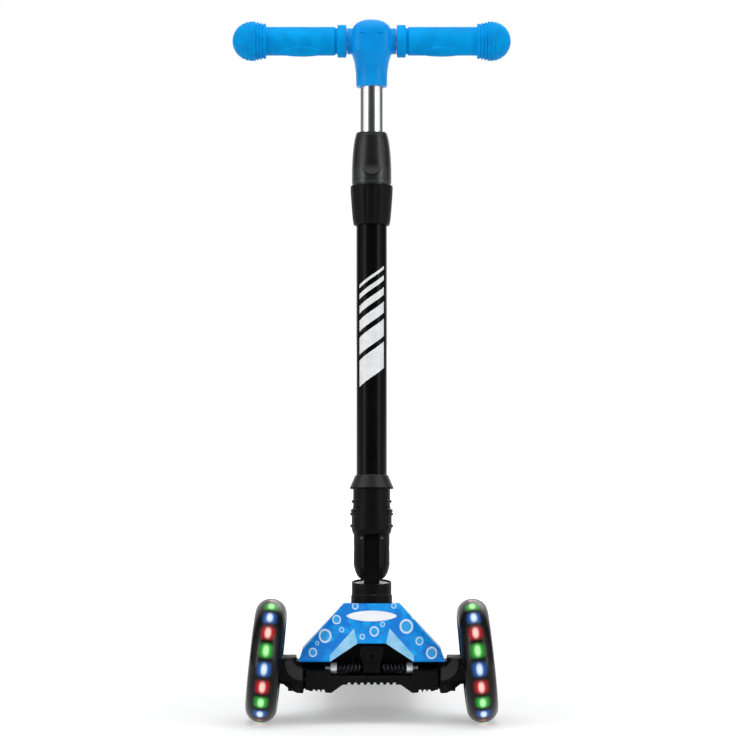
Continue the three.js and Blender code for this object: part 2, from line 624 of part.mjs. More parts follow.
function tieRodGeometry() {
  const rodBar = rod(tieRod.radius, -kingpin.x, kingpin.x, "x").translate(0, tieRod.y, tieRod.z);
  const block = box(-tieRod.blockHalf, tieRod.blockHalf, tieRod.y - tieRod.blockDepth / 2,
    tieRod.y + tieRod.blockDepth / 2, tieRod.z - tieRod.blockHeight / 2, tieRod.z + tieRod.blockHeight / 2);
  const pieces = [block];
  const cuts = [box(-tieRod.slotHalf, tieRod.slotHalf, tieRod.y - tieRod.blockDepth / 2 + tieRod.radius / 2,
    tieRod.y + tieRod.blockDepth / 2 - tieRod.radius / 2, tieRod.z - tieRod.blockHeight,
    tieRod.z + tieRod.blockHeight)];
  for (const side of [1, -1]) {
    const eye = rod(tieRod.eyeRadius, -tieRod.eyeHeight / 2, tieRod.eyeHeight / 2);
    pieces.push(eye.translate(side * kingpin.x, tieRod.y, tieRod.z));
    const hole = rod(knuckle.armStudRadius + gap.run, -tieRod.eyeHeight, tieRod.eyeHeight);
    cuts.push(hole.translate(side * kingpin.x, tieRod.y, tieRod.z));
  }
  return cut(join(rodBar, ...pieces), ...cuts);
}
add("tie_rod", tieRodGeometry(), finishes.steel);

// Deck

// Moves a shape made about the fold pin so that its Z axis is the column.
function atColumn(geometry) {
  return geometry.rotateX(-rake).translate(0, pinY, column.pinHeight);
}

function deckPlan(inset) {
  const right = [
    [deck.noseHalf - inset, deck.startY + inset], [deck.halfWidth - inset, deck.shoulderY],
    [deck.halfWidth - inset, deck.taperY], [deck.forkHalfOuter - inset, deck.endY - inset],
  ];
  return [...right, ...right.map(([x, y]) => [-x, y]).reverse()];
}

function deckSlab(inset, low, high) {
  return extruded(deckPlan(inset), high - low).translate(0, 0, (high + low) / 2);
}

function deckRibs() {
  const low = deck.bottom + deck.wall;
  const high = deck.top - deck.wall / 2;
  const half = deck.ribThickness / 2;
  const ribs = [];
  for (let i = 1; i <= deck.ribCount; i++) {
    const y = deck.startY + ((deck.endY - deck.startY) * i) / (deck.ribCount + 1);
    ribs.push(box(-deck.halfWidth, deck.halfWidth, y - half, y + half, low, high));
  }
  for (const x of [-deck.noseHalf / 2, deck.noseHalf / 2]) {
    ribs.push(box(x - half, x + half, deck.startY, deck.endY, low, high));
  }
  return common(join(...ribs), deckSlab(deck.wall / 2, deck.bottom, deck.top));
}

function deckForkCheeks() {
  const outline = [
    [deck.endY - deck.cornerRadius, deck.forkTop], [brakePinY - deck.earRadius, deck.forkTop],
    ...arc(brakePinY, brakePinZ, deck.earRadius, 180, 0, 8), [brakePinY + deck.earRadius, deck.forkTop],
    ...arc(rear.axleY, rearAxleZ, deck.forkEndRadius, 90, -90, 8),
    [deck.endY - deck.cornerRadius, rearAxleZ - deck.wall],
  ];
  const place = deck.forkHalfOuter - deck.forkThickness / 2;
  return [1, -1].map((side) => extruded(outline, deck.forkThickness, "x").translate(side * place, 0, 0));
}

// Round post under the collar and the spine that runs back into the deck, made larger by a clearance.
function bracketPost(front, clearance) {
  const post = rod(collar.bossRadius + clearance, -column.pinHeight, -collar.bossTop, "z", sides.tube);
  const wide = 2 * collar.bossRadius;
  const room = box(-wide, wide, front, 2 * column.baseY + collar.bossRadius,
    deck.top - 2 * deck.wall - clearance, column.pinHeight);
  return common(atColumn(post), room);
}

function bracketSpine(clearance) {
  const half = pivot.spineHalf + clearance;
  const low = deck.bottom + deck.wall - clearance;
  const inside = box(-half, half, pivot.spineFront, pivot.spineBack + clearance, low,
    deck.top - deck.wall - gap.seat + clearance);
  const outside = box(-half, half, pivot.spineFront, deck.startY - gap.seat, low, pivot.spineTop);
  return join(inside, outside);
}

function bracketGeometry() {
  const rearLugBack = pivot.y + pivot.bossLength / 2 + gap.run + pivot.lugThickness / 2;
  const body = join(bracketPost(rearLugBack, 0), bracketSpine(0), ...bracketLugs(rearLugBack));
  const socket = rod(collar.radius + gap.seat, collarBottom - gap.seat, gap.past, "z", sides.tube);
  const pivotHole = rod(pivot.radius + gap.seat, -beam.depth, pivot.threadEnd + gap.seat, "y");
  return cut(body, atColumn(socket), atPivot(pivotHole));
}

function deckGeometry() {
  const tray = cut(deckSlab(0, deck.bottom, deck.top),
    deckSlab(deck.wall, deck.bottom - gap.past, deck.top - deck.wall));
  const across = 2 * forkOuter;
  const axleHole = rod(axleRadius + gap.seat, -across, across, "x").translate(0, rear.axleY, rearAxleZ);
  const pinHole = rod(brake.pinRadius + gap.seat, -across, across, "x").translate(0, brakePinY, brakePinZ);
  const body = join(tray, deckRibs(), ...deckForkCheeks());
  return cut(body, bracketPost(0, gap.seat), bracketSpine(gap.seat), axleHole, pinHole);
}

// The two lugs on the lean axis, the bridge over the beam's boss, and the levers to springs and tie rod.
function bracketLugs(rearLugBack) {
  const half = pivot.lugThickness / 2;
  const [low, high] = [lugMiddle - half, lugMiddle + half];
  const frontLug = rod(pivot.lugRadius, low, high, "y", sides.boss);
  const springLever = box(-spring.leverHalf, spring.leverHalf, low, high, -spring.leverLength, 0);
  const rearLow = pivot.bossLength / 2 + gap.run;
  const rearLug = box(-pivot.bridgeHalf, pivot.bridgeHalf, rearLow, rearLow + pivot.lugThickness,
    -pivot.lugRadius, pivot.lugRadius + 3 * gap.run);

  const lugZ = pivot.z - lugMiddle * Math.tan(leanSlope);
  const lugFront = pivot.y + low;
  const lugBack = pivot.y + high;
  const bridgeFront = lugFront + 2 * gap.run + gap.seat;
  const bridgeLow = pivot.z + pivot.bossRadius + 2 * gap.run;
  const bridge = extruded([
    [bridgeFront, lugZ], [bridgeFront, pivot.bridgeFrontTop], [pivot.bridgeKneeY, pivot.bridgeKneeTop],
    [column.baseY, pivot.bridgeKneeTop], [column.baseY, bridgeLow], [lugBack, bridgeLow], [lugBack, lugZ],
  ], 2 * pivot.bridgeHalf, "x");
  const neck = box(-pivot.bridgeHalf, pivot.bridgeHalf, rearLugBack, column.baseY,
    pivot.z - pivot.lugRadius, pivot.bridgeKneeTop);
  const rodLever = box(-tieRod.leverHalf, tieRod.leverHalf, tieRod.y - tieRod.leverDepth / 2,
    tieRod.y + tieRod.leverDepth / 2, tieRod.z - tieRod.leverDepth / 2, pivot.z);
  return [atPivot(frontLug), atPivot(springLever), atPivot(rearLug), bridge, neck, rodLever];
}

function padGeometry() {
  const low = deck.top + gap.seat;
  const high = low + deck.padThickness;
  const start = coverBack + gap.seat;
  const end = brakePinY - deck.earRadius - gap.run;
  const half = deck.halfWidth - deck.padInset;
  const outline = [
    [-half, start], [half, start], [half, deck.taperY], [forkOuter, end], [-forkOuter, end],
    [-half, deck.taperY],
  ];
  const sheet = extruded(outline, high - low).translate(0, 0, (high + low) / 2);
  const ribs = [];
  const ribHalf = half - deck.padInset;
  const pitch = (deck.taperY - start) / deck.padRibCount;
  for (let i = 1; i < deck.padRibCount; i++) {
    const y = start + i * pitch;
    ribs.push(box(-ribHalf, ribHalf, y - deck.padRibWidth / 2, y + deck.padRibWidth / 2,
      low + deck.padRibRise, high + deck.padRibRise));
  }
  return join(sheet, ...ribs);
}

// Nose cover

function coverSection(row, inset) {
  const [place, ridgeShare, ridgeHalfShare, tipHalfShare, tipShare, hemShare] = row;
  const y = -cover.frontOffset + cover.depth * place;
  const ridge = cover.ridge * ridgeShare - inset;
  const ridgeHalf = cover.ridgeHalf * ridgeHalfShare - inset / 2;
  const tipHalf = cover.tipHalf * tipHalfShare - inset;
  const tip = cover.tip * tipShare - inset / 2;
  const hem = inset ? 0 : cover.hem * hemShare;
  const right = [[tipHalf, hem], [tipHalf, tip], [ridgeHalf, ridge]];
  return [...right, ...right.map(([x, z]) => [-x, z]).reverse()].map(([x, z]) => [x, y, z]);
}

// A point of the cover's sloping front at a height, moved out from the surface by a distance.
function coverFrontPoint(x, z, outward) {
  const heights = coverStationShares.map((row) => cover.ridge * row[1]);
  const places = coverStationShares.map((row) => -cover.frontOffset + cover.depth * row[0]);
  const next = Math.max(1, heights.findIndex((height) => height >= z));
  const [rise, run] = [heights[next] - heights[next - 1], places[next] - places[next - 1]];
  const share = (z - heights[next - 1]) / rise;
  const slope = Math.hypot(rise, run);
  return [x, places[next - 1] + run * share - (outward * rise) / slope, z + (outward * run) / slope];
}

// The bevel beside the arch: flush along its upper edge and sunk along the arch, which it overruns.
function coverFacet(side) {
  const [across, up] = [cover.archFootHalf - cover.archTopHalf, cover.archTop - cover.hem];
  const over = (2 * cover.facetDepth) / Math.hypot(across, up);
  const corners = [
    [cover.facetTopHalf, cover.facetTop, 0], [cover.archFootHalf, cover.facetFoot, 0],
    [cover.archTopHalf - up * over, cover.archTop - across * over, -cover.facetDepth],
    [cover.archFootHalf - up * over, cover.hem - across * over, -cover.facetDepth],
  ];
  const points = [];
  for (const [x, z, sunk] of corners) {
    points.push(coverFrontPoint(side * x, z, sunk), coverFrontPoint(side * x, z, gap.past));
  }
  return geometryOf(wasm.Manifold.hull(points));
}

function coverGeometry() {
  const outer = lofted(coverStationShares.map((row) => coverSection(row, 0)));
  const inner = coverStationShares.map((row) => coverSection(row, cover.wall));
  for (const point of inner[0]) point[1] += cover.wall;
  for (const point of inner[inner.length - 1]) point[1] += gap.past;
  const arch = extruded([
    [cover.archFootHalf, 0], [cover.archFootHalf, cover.hem], [cover.archTopHalf, cover.archTop],
    [-cover.archTopHalf, cover.archTop], [-cover.archFootHalf, cover.hem], [-cover.archFootHalf, 0],
  ], 2 * cover.frontOffset + gap.past, "y").translate(0, -cover.frontOffset, 0);
  const near = kingpin.x - knuckle.plateRadius - 2 * gap.run;
  const far = cover.tipHalf + gap.past;
  const sideArch = box(near, far, -cover.sideArchFront, cover.sideArchBack, 0, cover.sideArchTop);
  const neck = atColumn(rod(collar.radius + 2 * gap.seat, -column.pinHeight, 0, "z", sides.tube));
  return cut(outer, lofted(inner), arch, coverFacet(1), coverFacet(-1), neck, sideArch, mirrored(sideArch));
}

add("deck_base", deckGeometry(), finishes.blackPlastic);
add("steering_bracket", bracketGeometry(), finishes.blackPlastic);
add("deck_pad", padGeometry(), finishes.pad);
add("nose_cover", coverGeometry(), finishes.printBlue);

function pivotBoltGeometry() {
  const seat = -lugMiddle + pivot.lugThickness / 2 + gap.seat;
  const bolt = boltGeometry(-pivot.threadEnd, seat, pivot.radius, pivot.headRadius, pivot.headHeight, "y");
  return atPivot(bolt.rotateZ(Math.PI));
}
add("pivot_bolt", pivotBoltGeometry(), finishes.steel);

function rearBoltGeometry() {
  const seat = forkOuter + gap.seat;
  const bolt = boltGeometry(-seat - rear.nutHeight, seat, axleRadius, front.boltHeadRadius,
    front.boltHeadHeight);
  return bolt.translate(0, rear.axleY, rearAxleZ);
}

function rearNutGeometry() {
  const seat = -forkOuter - gap.seat;
  const nut = rod(front.boltHeadRadius, seat - rear.nutHeight, seat, "x", sides.hex);
  const hole = rod(axleRadius + gap.seat, -2 * forkOuter, 0, "x");
  return cut(nut, hole).translate(0, rear.axleY, rearAxleZ);
}
add("rear_axle_bolt", rearBoltGeometry(), finishes.steel);
add("rear_axle_nut", rearNutGeometry(), finishes.steel);

// Foot brake

function brakeGeometry() {
  const inner = rear.diameter / 2 + brake.clearance;
  const outer = inner + brake.thickness;
  const width = 2 * brake.halfWidth;
  const plate = extruded([
    ...arc(rear.axleY, rearAxleZ, outer, brake.startDegrees, brake.endDegrees, 12),
    ...arc(rear.axleY, rearAxleZ, inner, brake.endDegrees, brake.startDegrees, 12),
  ], width, "x");
  const start = degrees(brake.startDegrees);
  const footY = rear.axleY + inner * Math.cos(start) + brake.thickness;
  const footZ = rearAxleZ + inner * Math.sin(start);
  const web = extruded([
    [brakePinY, brakePinZ - brake.bossRadius], [footY, footZ], [footY, footZ + brake.bossRadius],
    [brakePinY, brakePinZ + brake.bossRadius],
  ], width, "x");
  const boss = rod(brake.bossRadius, -brake.halfWidth, brake.halfWidth, "x");
  const tyreRoom = rod(inner, -width, width, "x", sides.fender).translate(0, rear.axleY, rearAxleZ);

  const room = brake.springRadius + brake.wireRadius + gap.run;
  const half = brake.coilLength / 2 + gap.run;
  const pocket = rod(room, -half, half, "x");
  const mouth = box(-half, half, -brake.bossRadius - gap.past, 0, -room, room);
  const hole = rod(brake.pinRadius + gap.seat, -2 * forkOuter, 2 * forkOuter, "x");
  const atPin = (geometry) => geometry.translate(0, brakePinY, brakePinZ);
  return cut(join(plate, cut(web, tyreRoom), atPin(boss)), atPin(pocket), atPin(mouth), atPin(hole));
}

function brakeSpringGeometry() {
  const length = brake.coilLength - 2 * brake.wireRadius;
  const wire = coil(brake.springRadius - brake.wireRadius, brake.wireRadius, length, brake.curls);
  return wire.translate(-length / 2, brakePinY, brakePinZ);
}

const brakePin = rod(brake.pinRadius, -forkOuter, forkOuter, "x");
add("brake_fender", brakeGeometry(), finishes.blackPlastic);
add("brake_pin", brakePin.translate(0, brakePinY, brakePinZ), finishes.steel);
add("brake_spring", brakeSpringGeometry(), finishes.steel);

// Column, on its own axis with the fold pin at zero

const columnGroup = new THREE.Group();
columnGroup.position.set(0, pinY, column.pinHeight);
columnGroup.rotation.x = -rake;
scooter.add(columnGroup);

function tubeGeometry(radius, wall, bottom, top) {
  const profile = [[radius - wall, bottom], [radius, bottom], [radius, top], [radius - wall, top]];
  return turned(profile, "z", sides.tube);
}

function collarGeometry() {
  const wide = 2 * collar.radius;
  const above = box(-wide, wide, -wide, wide, 0, column.pinHeight);
  above.rotateX(degrees(collar.cutDegrees)).translate(0, 0, -collar.top);
  return cut(tubeGeometry(collar.radius, collar.wall, collarBottom, 0), above);
}
add("socket_collar", collarGeometry(), finishes.blackPlastic, columnGroup);

function tongueGeometry() {
  const right = [
    [tongue.halfDepth, collarBottom], [tongue.halfDepth, tongue.corner], [tongue.flatHalf, tongue.flat],
  ];
  const outline = [...right, ...right.map(([y, z]) => [-y, z]).reverse()];
  const plate = extruded(outline, 2 * tongue.halfWidth, "x");
  const plugRadius = collar.radius - collar.wall - gap.seat;
  const plug = rod(plugRadius, collarBottom, collarBottom + tongue.plugLength, "z", sides.tube);
  return cut(join(plate, plug), rod(column.pinRadius + gap.seat, -fork.radius, fork.radius, "x"));
}
add("hinge_tongue", tongueGeometry(), finishes.blackTube, columnGroup);

function forkGeometry() {
  const bottom = -fork.bulletLength;
  const neckTop = column.tubeBottom - gap.seat;
  const profile = [
    [0, bottom], ...forkBulletShares.map(([r, h]) => [fork.radius * r, bottom * h]),
    [fork.radius, fork.shoulder], [fork.neckRadius, fork.shoulder], [fork.neckRadius, neckTop],
    [fork.plugRadius, neckTop], [fork.plugRadius, fork.plugTop], [0, fork.plugTop],
  ];
  const wide = 2 * fork.radius;
  const slot = box(-fork.slotHalf, fork.slotHalf, -wide, wide, bottom - gap.past, fork.slotTop);
  return cut(turned(profile), slot, rod(column.pinRadius + gap.seat, -wide, wide, "x"));
}
const columnTube = tubeGeometry(column.tubeRadius, column.tubeWall, column.tubeBottom, column.tubeTop);
add("column_fork", forkGeometry(), finishes.blackPlastic, columnGroup);
add("hinge_pin", rod(column.pinRadius, -fork.radius, fork.radius, "x"), finishes.steel, columnGroup);
add("outer_tube", columnTube, finishes.blackTube, columnGroup);

function sleeveGeometry() {
  const bore = column.tubeRadius + sleeve.boreGap;
  const length = sleeve.flange - sleeve.bottom;
  const profile = [[bore, sleeve.bottom], [sleeve.radius, sleeve.bottom]];
  for (const share of sleeveRibShares) {
    const low = sleeve.bottom + length * share;
    profile.push([sleeve.radius, low], [sleeve.radius + sleeve.ribRise, low + sleeve.ribHeight / 2],
      [sleeve.radius, low + sleeve.ribHeight]);
  }
  profile.push([sleeve.radius, sleeve.flange - sleeve.flangeHeight], [sleeve.flangeRadius, sleeve.flange],
    [sleeve.flangeRadius - sleeve.ribRise / 2, sleeve.flange + sleeve.flangeHeight / 2],
    [sleeve.topRadius, sleeve.top], [bore, sleeve.top]);
  return turned(profile);
}

function plugGeometry() {
  const reach = column.tubeRadius + sleeve.boreGap - gap.seat;
  const low = tongue.flat + gap.seat;
  const block = box(-tongue.halfWidth, tongue.halfWidth, -reach, reach, low, low + sleeve.plugHeight);
  return common(block, rod(reach, 0, fork.slotTop, "z", sides.tube));
}
add("lock_sleeve", sleeveGeometry(), finishes.blackPlastic, columnGroup);
add("lock_plug", plugGeometry(), finishes.steel, columnGroup);

// Height clamp

// The upper shell's profile from one of its points on.
function clampShellPoints(first) {
  const low = clamp.ringTop + gap.run;
  const place = ([r, h]) => [clamp.bodyRadius * r, low + (clamp.top - low) * h];
  return clampBodyShares.slice(first).map(place);
}

function clampBodyGeometry() {
  const bore = column.tubeRadius + gap.seat;
  const neck = innerTube.radius + gap.seat;
  const profile = [
    [bore, clamp.skirtBottom], [clamp.skirtRadius, clamp.skirtBottom],
    [clamp.skirtRadius, clamp.ringTop + gap.run], ...clampShellPoints(0), [neck, clamp.top],
    [neck, clamp.bushTop + gap.seat], [bore, clamp.bushTop + gap.seat],
  ];
  const half = clamp.buttonHalf + gap.seat;
  const back = -clamp.bodyRadius + clamp.buttonDepth + clamp.buttonTravel;
  const pocket = box(-half, half, -2 * clamp.bodyRadius, back, clamp.buttonBottom - gap.seat,
    clamp.buttonTop + gap.seat);
  return cut(turned(profile), pocket);
}

function buttonGeometry() {
  const wide = 2 * clamp.bodyRadius;
  const roundZ = clamp.buttonBottom + clamp.buttonHalf;
  const round = rod(clamp.buttonHalf, -wide, 0, "y", sides.boss).translate(0, 0, roundZ);
  const block = box(-clamp.buttonHalf, clamp.buttonHalf, -wide, 0, roundZ, clamp.buttonTop);
  const middle = (clamp.buttonBottom + clamp.buttonTop) / 2;
  const shell = turned([
    [0, clamp.bottom], [clamp.bodyRadius, clamp.bottom], [clamp.bodyRadius, middle], ...clampShellPoints(3),
    [0, clamp.top],
  ]);
  const room = box(-wide, wide, -wide, -clamp.bodyRadius + clamp.buttonDepth, clamp.bottom, clamp.top);
  return common(common(join(round, block), room), shell);
}

function clampRingGeometry() {
  const bore = column.tubeRadius + gap.seat;
  const inner = clamp.skirtRadius + gap.seat;
  const shelf = clamp.skirtBottom - gap.seat;
  const height = clamp.ringTop - clamp.bottom;
  const profile = [
    [bore, clamp.bottom], [clamp.ringFootRadius, clamp.bottom],
    ...clampRingShares.map(([r, h]) => [clamp.ringRadius * r, clamp.bottom + height * h]),
    [inner, clamp.ringTop], [inner, shelf], [bore, shelf],
  ];
  const flutes = [];
  for (let i = 0; i < clamp.fluteCount; i++) {
    const flute = rod(clamp.fluteRadius, clamp.bottom - gap.past, clamp.ringTop - gap.past, "z", sides.hex);
    flute.translate(clamp.ringRadius + clamp.fluteRadius / 2, 0, 0);
    flutes.push(flute.rotateZ((i / clamp.fluteCount) * 2 * Math.PI));
  }
  return cut(turned(profile), ...flutes);
}

const bushLow = column.tubeTop + gap.seat;
const bushInner = innerTube.radius + gap.seat;
const bush = tubeGeometry(column.tubeRadius, column.tubeRadius - bushInner, bushLow, clamp.bushTop);
add("clamp_body", clampBodyGeometry(), finishes.blackPlastic, columnGroup);
add("clamp_ring", clampRingGeometry(), finishes.blackPlastic, columnGroup);
add("height_button", buttonGeometry(), finishes.blackPlastic, columnGroup);
add("guide_bush", bush, finishes.nylon, columnGroup);

// Handlebar

const sliding = tubeGeometry(innerTube.radius, innerTube.wall, innerTube.bottom, innerTubeTop);
add("inner_tube", sliding, finishes.chrome, columnGroup);

// Moves a shape made on the X axis up to the bar.
function atBar(geometry) {
  return geometry.translate(0, 0, barAxis);
}

function headGeometry() {
  const height = head.barRise + head.crown;
  const profile = [
    [0, head.bottom], [head.footRadius, head.bottom],
    ...headShares.map(([r, h]) => [head.radius * r, head.bottom + height * h]), [0, head.bottom + height],
  ];
  const stub = rod(head.stubRadius, -head.stubHalf, head.stubHalf, "x", sides.boss);
  const socketTop = innerTubeTop + gap.seat;
  const socket = rod(innerTube.radius + gap.seat, head.bottom - gap.past, socketTop, "z", sides.tube);
  const through = rod(bar.radius + gap.seat, -2 * head.stubHalf, 2 * head.stubHalf, "x", sides.boss);
  return cut(join(turned(profile), atBar(stub)), socket, atBar(through));
}
add("t_head", headGeometry(), finishes.softBlue, columnGroup);

function crossbarGeometry() {
  const inner = bar.radius - bar.wall;
  const profile = [
    [inner, -bar.halfLength], [bar.radius, -bar.halfLength], [bar.radius, bar.halfLength],
    [inner, bar.halfLength],
  ];
  return turned(profile, "x", sides.boss);
}
add("crossbar", atBar(crossbarGeometry()), finishes.steel, columnGroup);

// The grip's ball end: grooves cut round the side of the grip, then a round cap.
function ballPoints() {
  const point = (radius, angle) => [radius * Math.sin(angle), grip.ballX + radius * Math.cos(angle)];
  const span = grip.grooveEndDegrees - grip.grooveStartDegrees;
  const points = [];
  for (let i = 0; i < 2 * grip.grooveCount; i++) {
    const radius = i % 2 ? grip.ballRadius - grip.grooveDepth : grip.ballRadius;
    points.push(point(radius, degrees(grip.grooveStartDegrees + (span * i) / (2 * grip.grooveCount))));
  }
  const cap = arc(grip.ballX, 0, grip.ballRadius, grip.grooveEndDegrees, 0, 6);
  return [...points, ...cap.map(([x, radius]) => [radius, x])];
}

function gripGeometry() {
  const bore = bar.radius + gap.seat;
  const boreEnd = bar.halfLength + gap.seat;
  const slope = grip.ringNeck;
  const body = turned([
    [bore, grip.start], [grip.neckRadius, grip.start], [grip.ringRadius, grip.start + slope / 2],
    [grip.ringRadius, grip.ringEnd - slope / 2], [grip.neckRadius, grip.ringEnd],
    [grip.radius, grip.ringEnd + slope], [grip.radius, grip.end], ...ballPoints(), [0, boreEnd],
    [bore, boreEnd],
  ], "x", sides.tube);
  const thumb = new THREE.SphereGeometry(1, sides.boss, sides.curl);
  thumb.scale(grip.padHalfLength, grip.padHalfHeight, grip.radius + grip.padRise);
  thumb.rotateX(Math.PI / 2 + degrees(grip.padDropDegrees)).translate(grip.padX, 0, 0);
  const frontHalf = box(0, grip.end, -grip.ballRadius, 0, -grip.ballRadius, grip.ballRadius);
  const inside = rod(grip.radius - grip.padRise, 0, 2 * grip.end, "x", sides.tube);
  return join(body, cut(common(thumb, frontHalf), inside));
}
const rightGrip = atBar(gripGeometry());
add("grip_right", rightGrip, finishes.gripBlue, columnGroup);
add("grip_left", mirrored(rightGrip), finishes.gripBlue, columnGroup);

// The origin: on the floor, under the middle of the scooter
const extent = new THREE.Box3().setFromObject(scooter, true);
scooter.position.set(0, -(extent.min.y + extent.max.y) / 2, -extent.min.z);

export default scooter;
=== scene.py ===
"""Three wheel kids scooter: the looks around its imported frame. Sizes are in millimetres."""
import json
import math

import bmesh
import bpy
from mathutils import Matrix, Vector

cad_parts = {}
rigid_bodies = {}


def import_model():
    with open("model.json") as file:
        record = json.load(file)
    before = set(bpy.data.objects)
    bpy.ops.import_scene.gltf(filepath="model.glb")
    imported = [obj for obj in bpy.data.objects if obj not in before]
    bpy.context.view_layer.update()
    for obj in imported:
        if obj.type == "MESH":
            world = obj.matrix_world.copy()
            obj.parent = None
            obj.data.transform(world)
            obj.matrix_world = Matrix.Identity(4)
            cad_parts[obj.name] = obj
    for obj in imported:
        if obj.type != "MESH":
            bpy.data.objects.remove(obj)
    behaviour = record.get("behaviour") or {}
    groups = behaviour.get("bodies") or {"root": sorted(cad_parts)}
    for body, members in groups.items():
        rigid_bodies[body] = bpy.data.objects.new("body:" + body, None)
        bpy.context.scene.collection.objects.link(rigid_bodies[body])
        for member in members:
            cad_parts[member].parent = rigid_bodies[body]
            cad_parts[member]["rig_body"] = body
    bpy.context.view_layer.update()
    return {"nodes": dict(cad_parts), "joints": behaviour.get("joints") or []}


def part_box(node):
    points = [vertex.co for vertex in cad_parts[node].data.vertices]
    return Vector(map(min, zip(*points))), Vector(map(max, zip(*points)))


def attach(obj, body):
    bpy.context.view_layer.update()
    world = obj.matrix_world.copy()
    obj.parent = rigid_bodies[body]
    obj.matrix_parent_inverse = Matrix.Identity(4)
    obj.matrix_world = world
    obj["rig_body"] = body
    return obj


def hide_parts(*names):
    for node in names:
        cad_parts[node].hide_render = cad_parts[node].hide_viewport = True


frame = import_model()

MM = 0.001
nodes = frame["nodes"]
joints = {joint["name"]: joint for joint in frame["joints"]}

# Frames of the scooter's own parts, worked out from its joints. Each one's Z is the part's axis.


def axis_frame(origin, axis, across=(1, 0, 0)):
    """A frame at a point in metres, with Z along the axis and X as near to across as it can be."""
    up = Vector(axis).normalized()
    right = Vector(across)
    right = (right - right.dot(up) * up).normalized()
    turned = Matrix((right, up.cross(right), up)).transposed()
    return Matrix.Translation(origin) @ turned.to_4x4()


def joint_frame(name, across=(1, 0, 0)):
    return axis_frame(joints[name]["pos_m"], joints[name]["axis"], across)


FORWARD = (0, -1, 0)
scooter_frame = Matrix.Identity(4)
column_frame = axis_frame(joints["fold"]["pos_m"], joints["height"]["axis"])
wheel_frames = {side: joint_frame(f"spin_{side}", FORWARD) for side in ("left", "right", "rear")}
kingpin_frames = {side: joint_frame(f"steer_{side}") for side in ("left", "right")}
lean_frame = joint_frame("lean")

# Mesh making

ON_AXIS = 1e-6
WELD = 0.004
# Corners more open than this stay as they are, and a rounding takes no more than this share of a side.
STRAIGHT_DEGREES = 168
ROUNDED_SHARE = 0.45
# Cuts run on this far, past every edge of what they cut.
FAR = 120


def face_outward(mesh):
    made = bmesh.new()
    made.from_mesh(mesh)
    bmesh.ops.recalc_face_normals(made, faces=made.faces)
    made.to_mesh(mesh)
    made.free()


def add_piece(name, data):
    piece = bpy.data.objects.new(name, data)
    bpy.context.scene.collection.objects.link(piece)
    return piece


def add_mesh(name, points, faces):
    mesh = bpy.data.meshes.new(name)
    mesh.from_pydata([Vector(point) * MM for point in points], [], faces)
    face_outward(mesh)
    return add_piece(name, mesh)


def settle(piece):
    """Writes what the piece's modifiers make into its mesh."""
    bpy.context.view_layer.update()
    graph = bpy.context.evaluated_depsgraph_get()
    made = bpy.data.meshes.new_from_object(piece.evaluated_get(graph))
    piece.modifiers.clear()
    piece.data = made
    return piece


def smooth(piece, sharp_degrees=38):
    piece.data.shade_smooth()
    piece.data.set_sharp_from_angle(angle=math.radians(sharp_degrees))
    return piece


def rounded(outline, radius, steps=4, closed=True):
    """An outline with each corner rounded, as far as the sides beside it allow."""
    points = [Vector(point) for point in outline]
    made = []
    for i, corner in enumerate(points):
        if not closed and i in (0, len(points) - 1):
            made.append(tuple(corner))
            continue
        before, after = points[i - 1] - corner, points[(i + 1) % len(points)] - corner
        opening = before.angle(after)
        if opening > math.radians(STRAIGHT_DEGREES):
            made.append(tuple(corner))
            continue
        longest = ROUNDED_SHARE * min(before.length, after.length)
        reach = min(radius / math.tan(opening / 2), longest)
        start, end = corner + before.normalized() * reach, corner + after.normalized() * reach
        for step in range(steps + 1):
            share = step / steps
            made.append(tuple(start * (1 - share) ** 2 + corner * 2 * share * (1 - share) + end * share**2))
    return made


def with_even_steps(profile, longest):
    """The profile with points added so that no step of it is longer than that."""
    made = [profile[0]]
    for first, last in zip(profile, profile[1:]):
        count = max(1, math.ceil(math.dist(first, last) / longest))
        for i in range(1, count + 1):
            share = i / count
            made.append(tuple(a + (b - a) * share for a, b in zip(first, last)))
    return made


def mirrored(outline, side):
    return [(side * x, z) for x, z in outline]


def arc(centre, radius, start, end, steps):
    """Points round a centre, between two angles in degrees."""
    turns = [math.radians(start + (end - start) * i / steps) for i in range(steps + 1)]
    return [(centre[0] + radius * math.cos(t), centre[1] + radius * math.sin(t)) for t in turns]


def lathe(name, profile, steps=96):
    """A profile of (radius, height) points turned about Z, closed on itself or on the axis."""
    points, rings = [], []
    for radius, height in profile:
        first = len(points)
        if radius < ON_AXIS:
            points.append((0, 0, height))
            rings.append([first] * steps)
            continue
        points += [(*spot, height) for spot in arc((0, 0), radius, 0, 360 - 360 / steps, steps - 1)]
        rings.append(list(range(first, first + steps)))
    if profile[0][0] > ON_AXIS:
        rings.append(rings[0])
    faces = []
    for low, high in zip(rings, rings[1:]):
        for i in range(steps):
            j = (i + 1) % steps
            corners = dict.fromkeys([low[i], low[j], high[j], high[i]])
            if len(corners) > 2:
                faces.append(list(corners))
    return add_mesh(name, points, faces)


def slab(name, outline, low, high, axis="z"):
    """An outline pushed from low to high along an axis. Its two numbers are the other axes, in order."""
    place = {
        "x": lambda a, b, h: (h, a, b),
        "y": lambda a, b, h: (a, h, b),
        "z": lambda a, b, h: (a, b, h),
    }[axis]
    count = len(outline)
    points = [place(a, b, height) for height in (low, high) for a, b in outline]
    faces = [list(range(count)), list(range(count, 2 * count))]
    faces += [[i, (i + 1) % count, (i + 1) % count + count, i + count] for i in range(count)]
    return add_mesh(name, points, faces)


def block(name, low, high):
    corners = [(low[0], low[1]), (high[0], low[1]), (high[0], high[1]), (low[0], high[1])]
    return slab(name, corners, low[2], high[2])


def slab_beside(name, outline, outward, inner, outer):
    """A slab in the planes across X, on one side of the middle."""
    return slab(name, outline, *sorted((outward * inner, outward * outer)), "x")


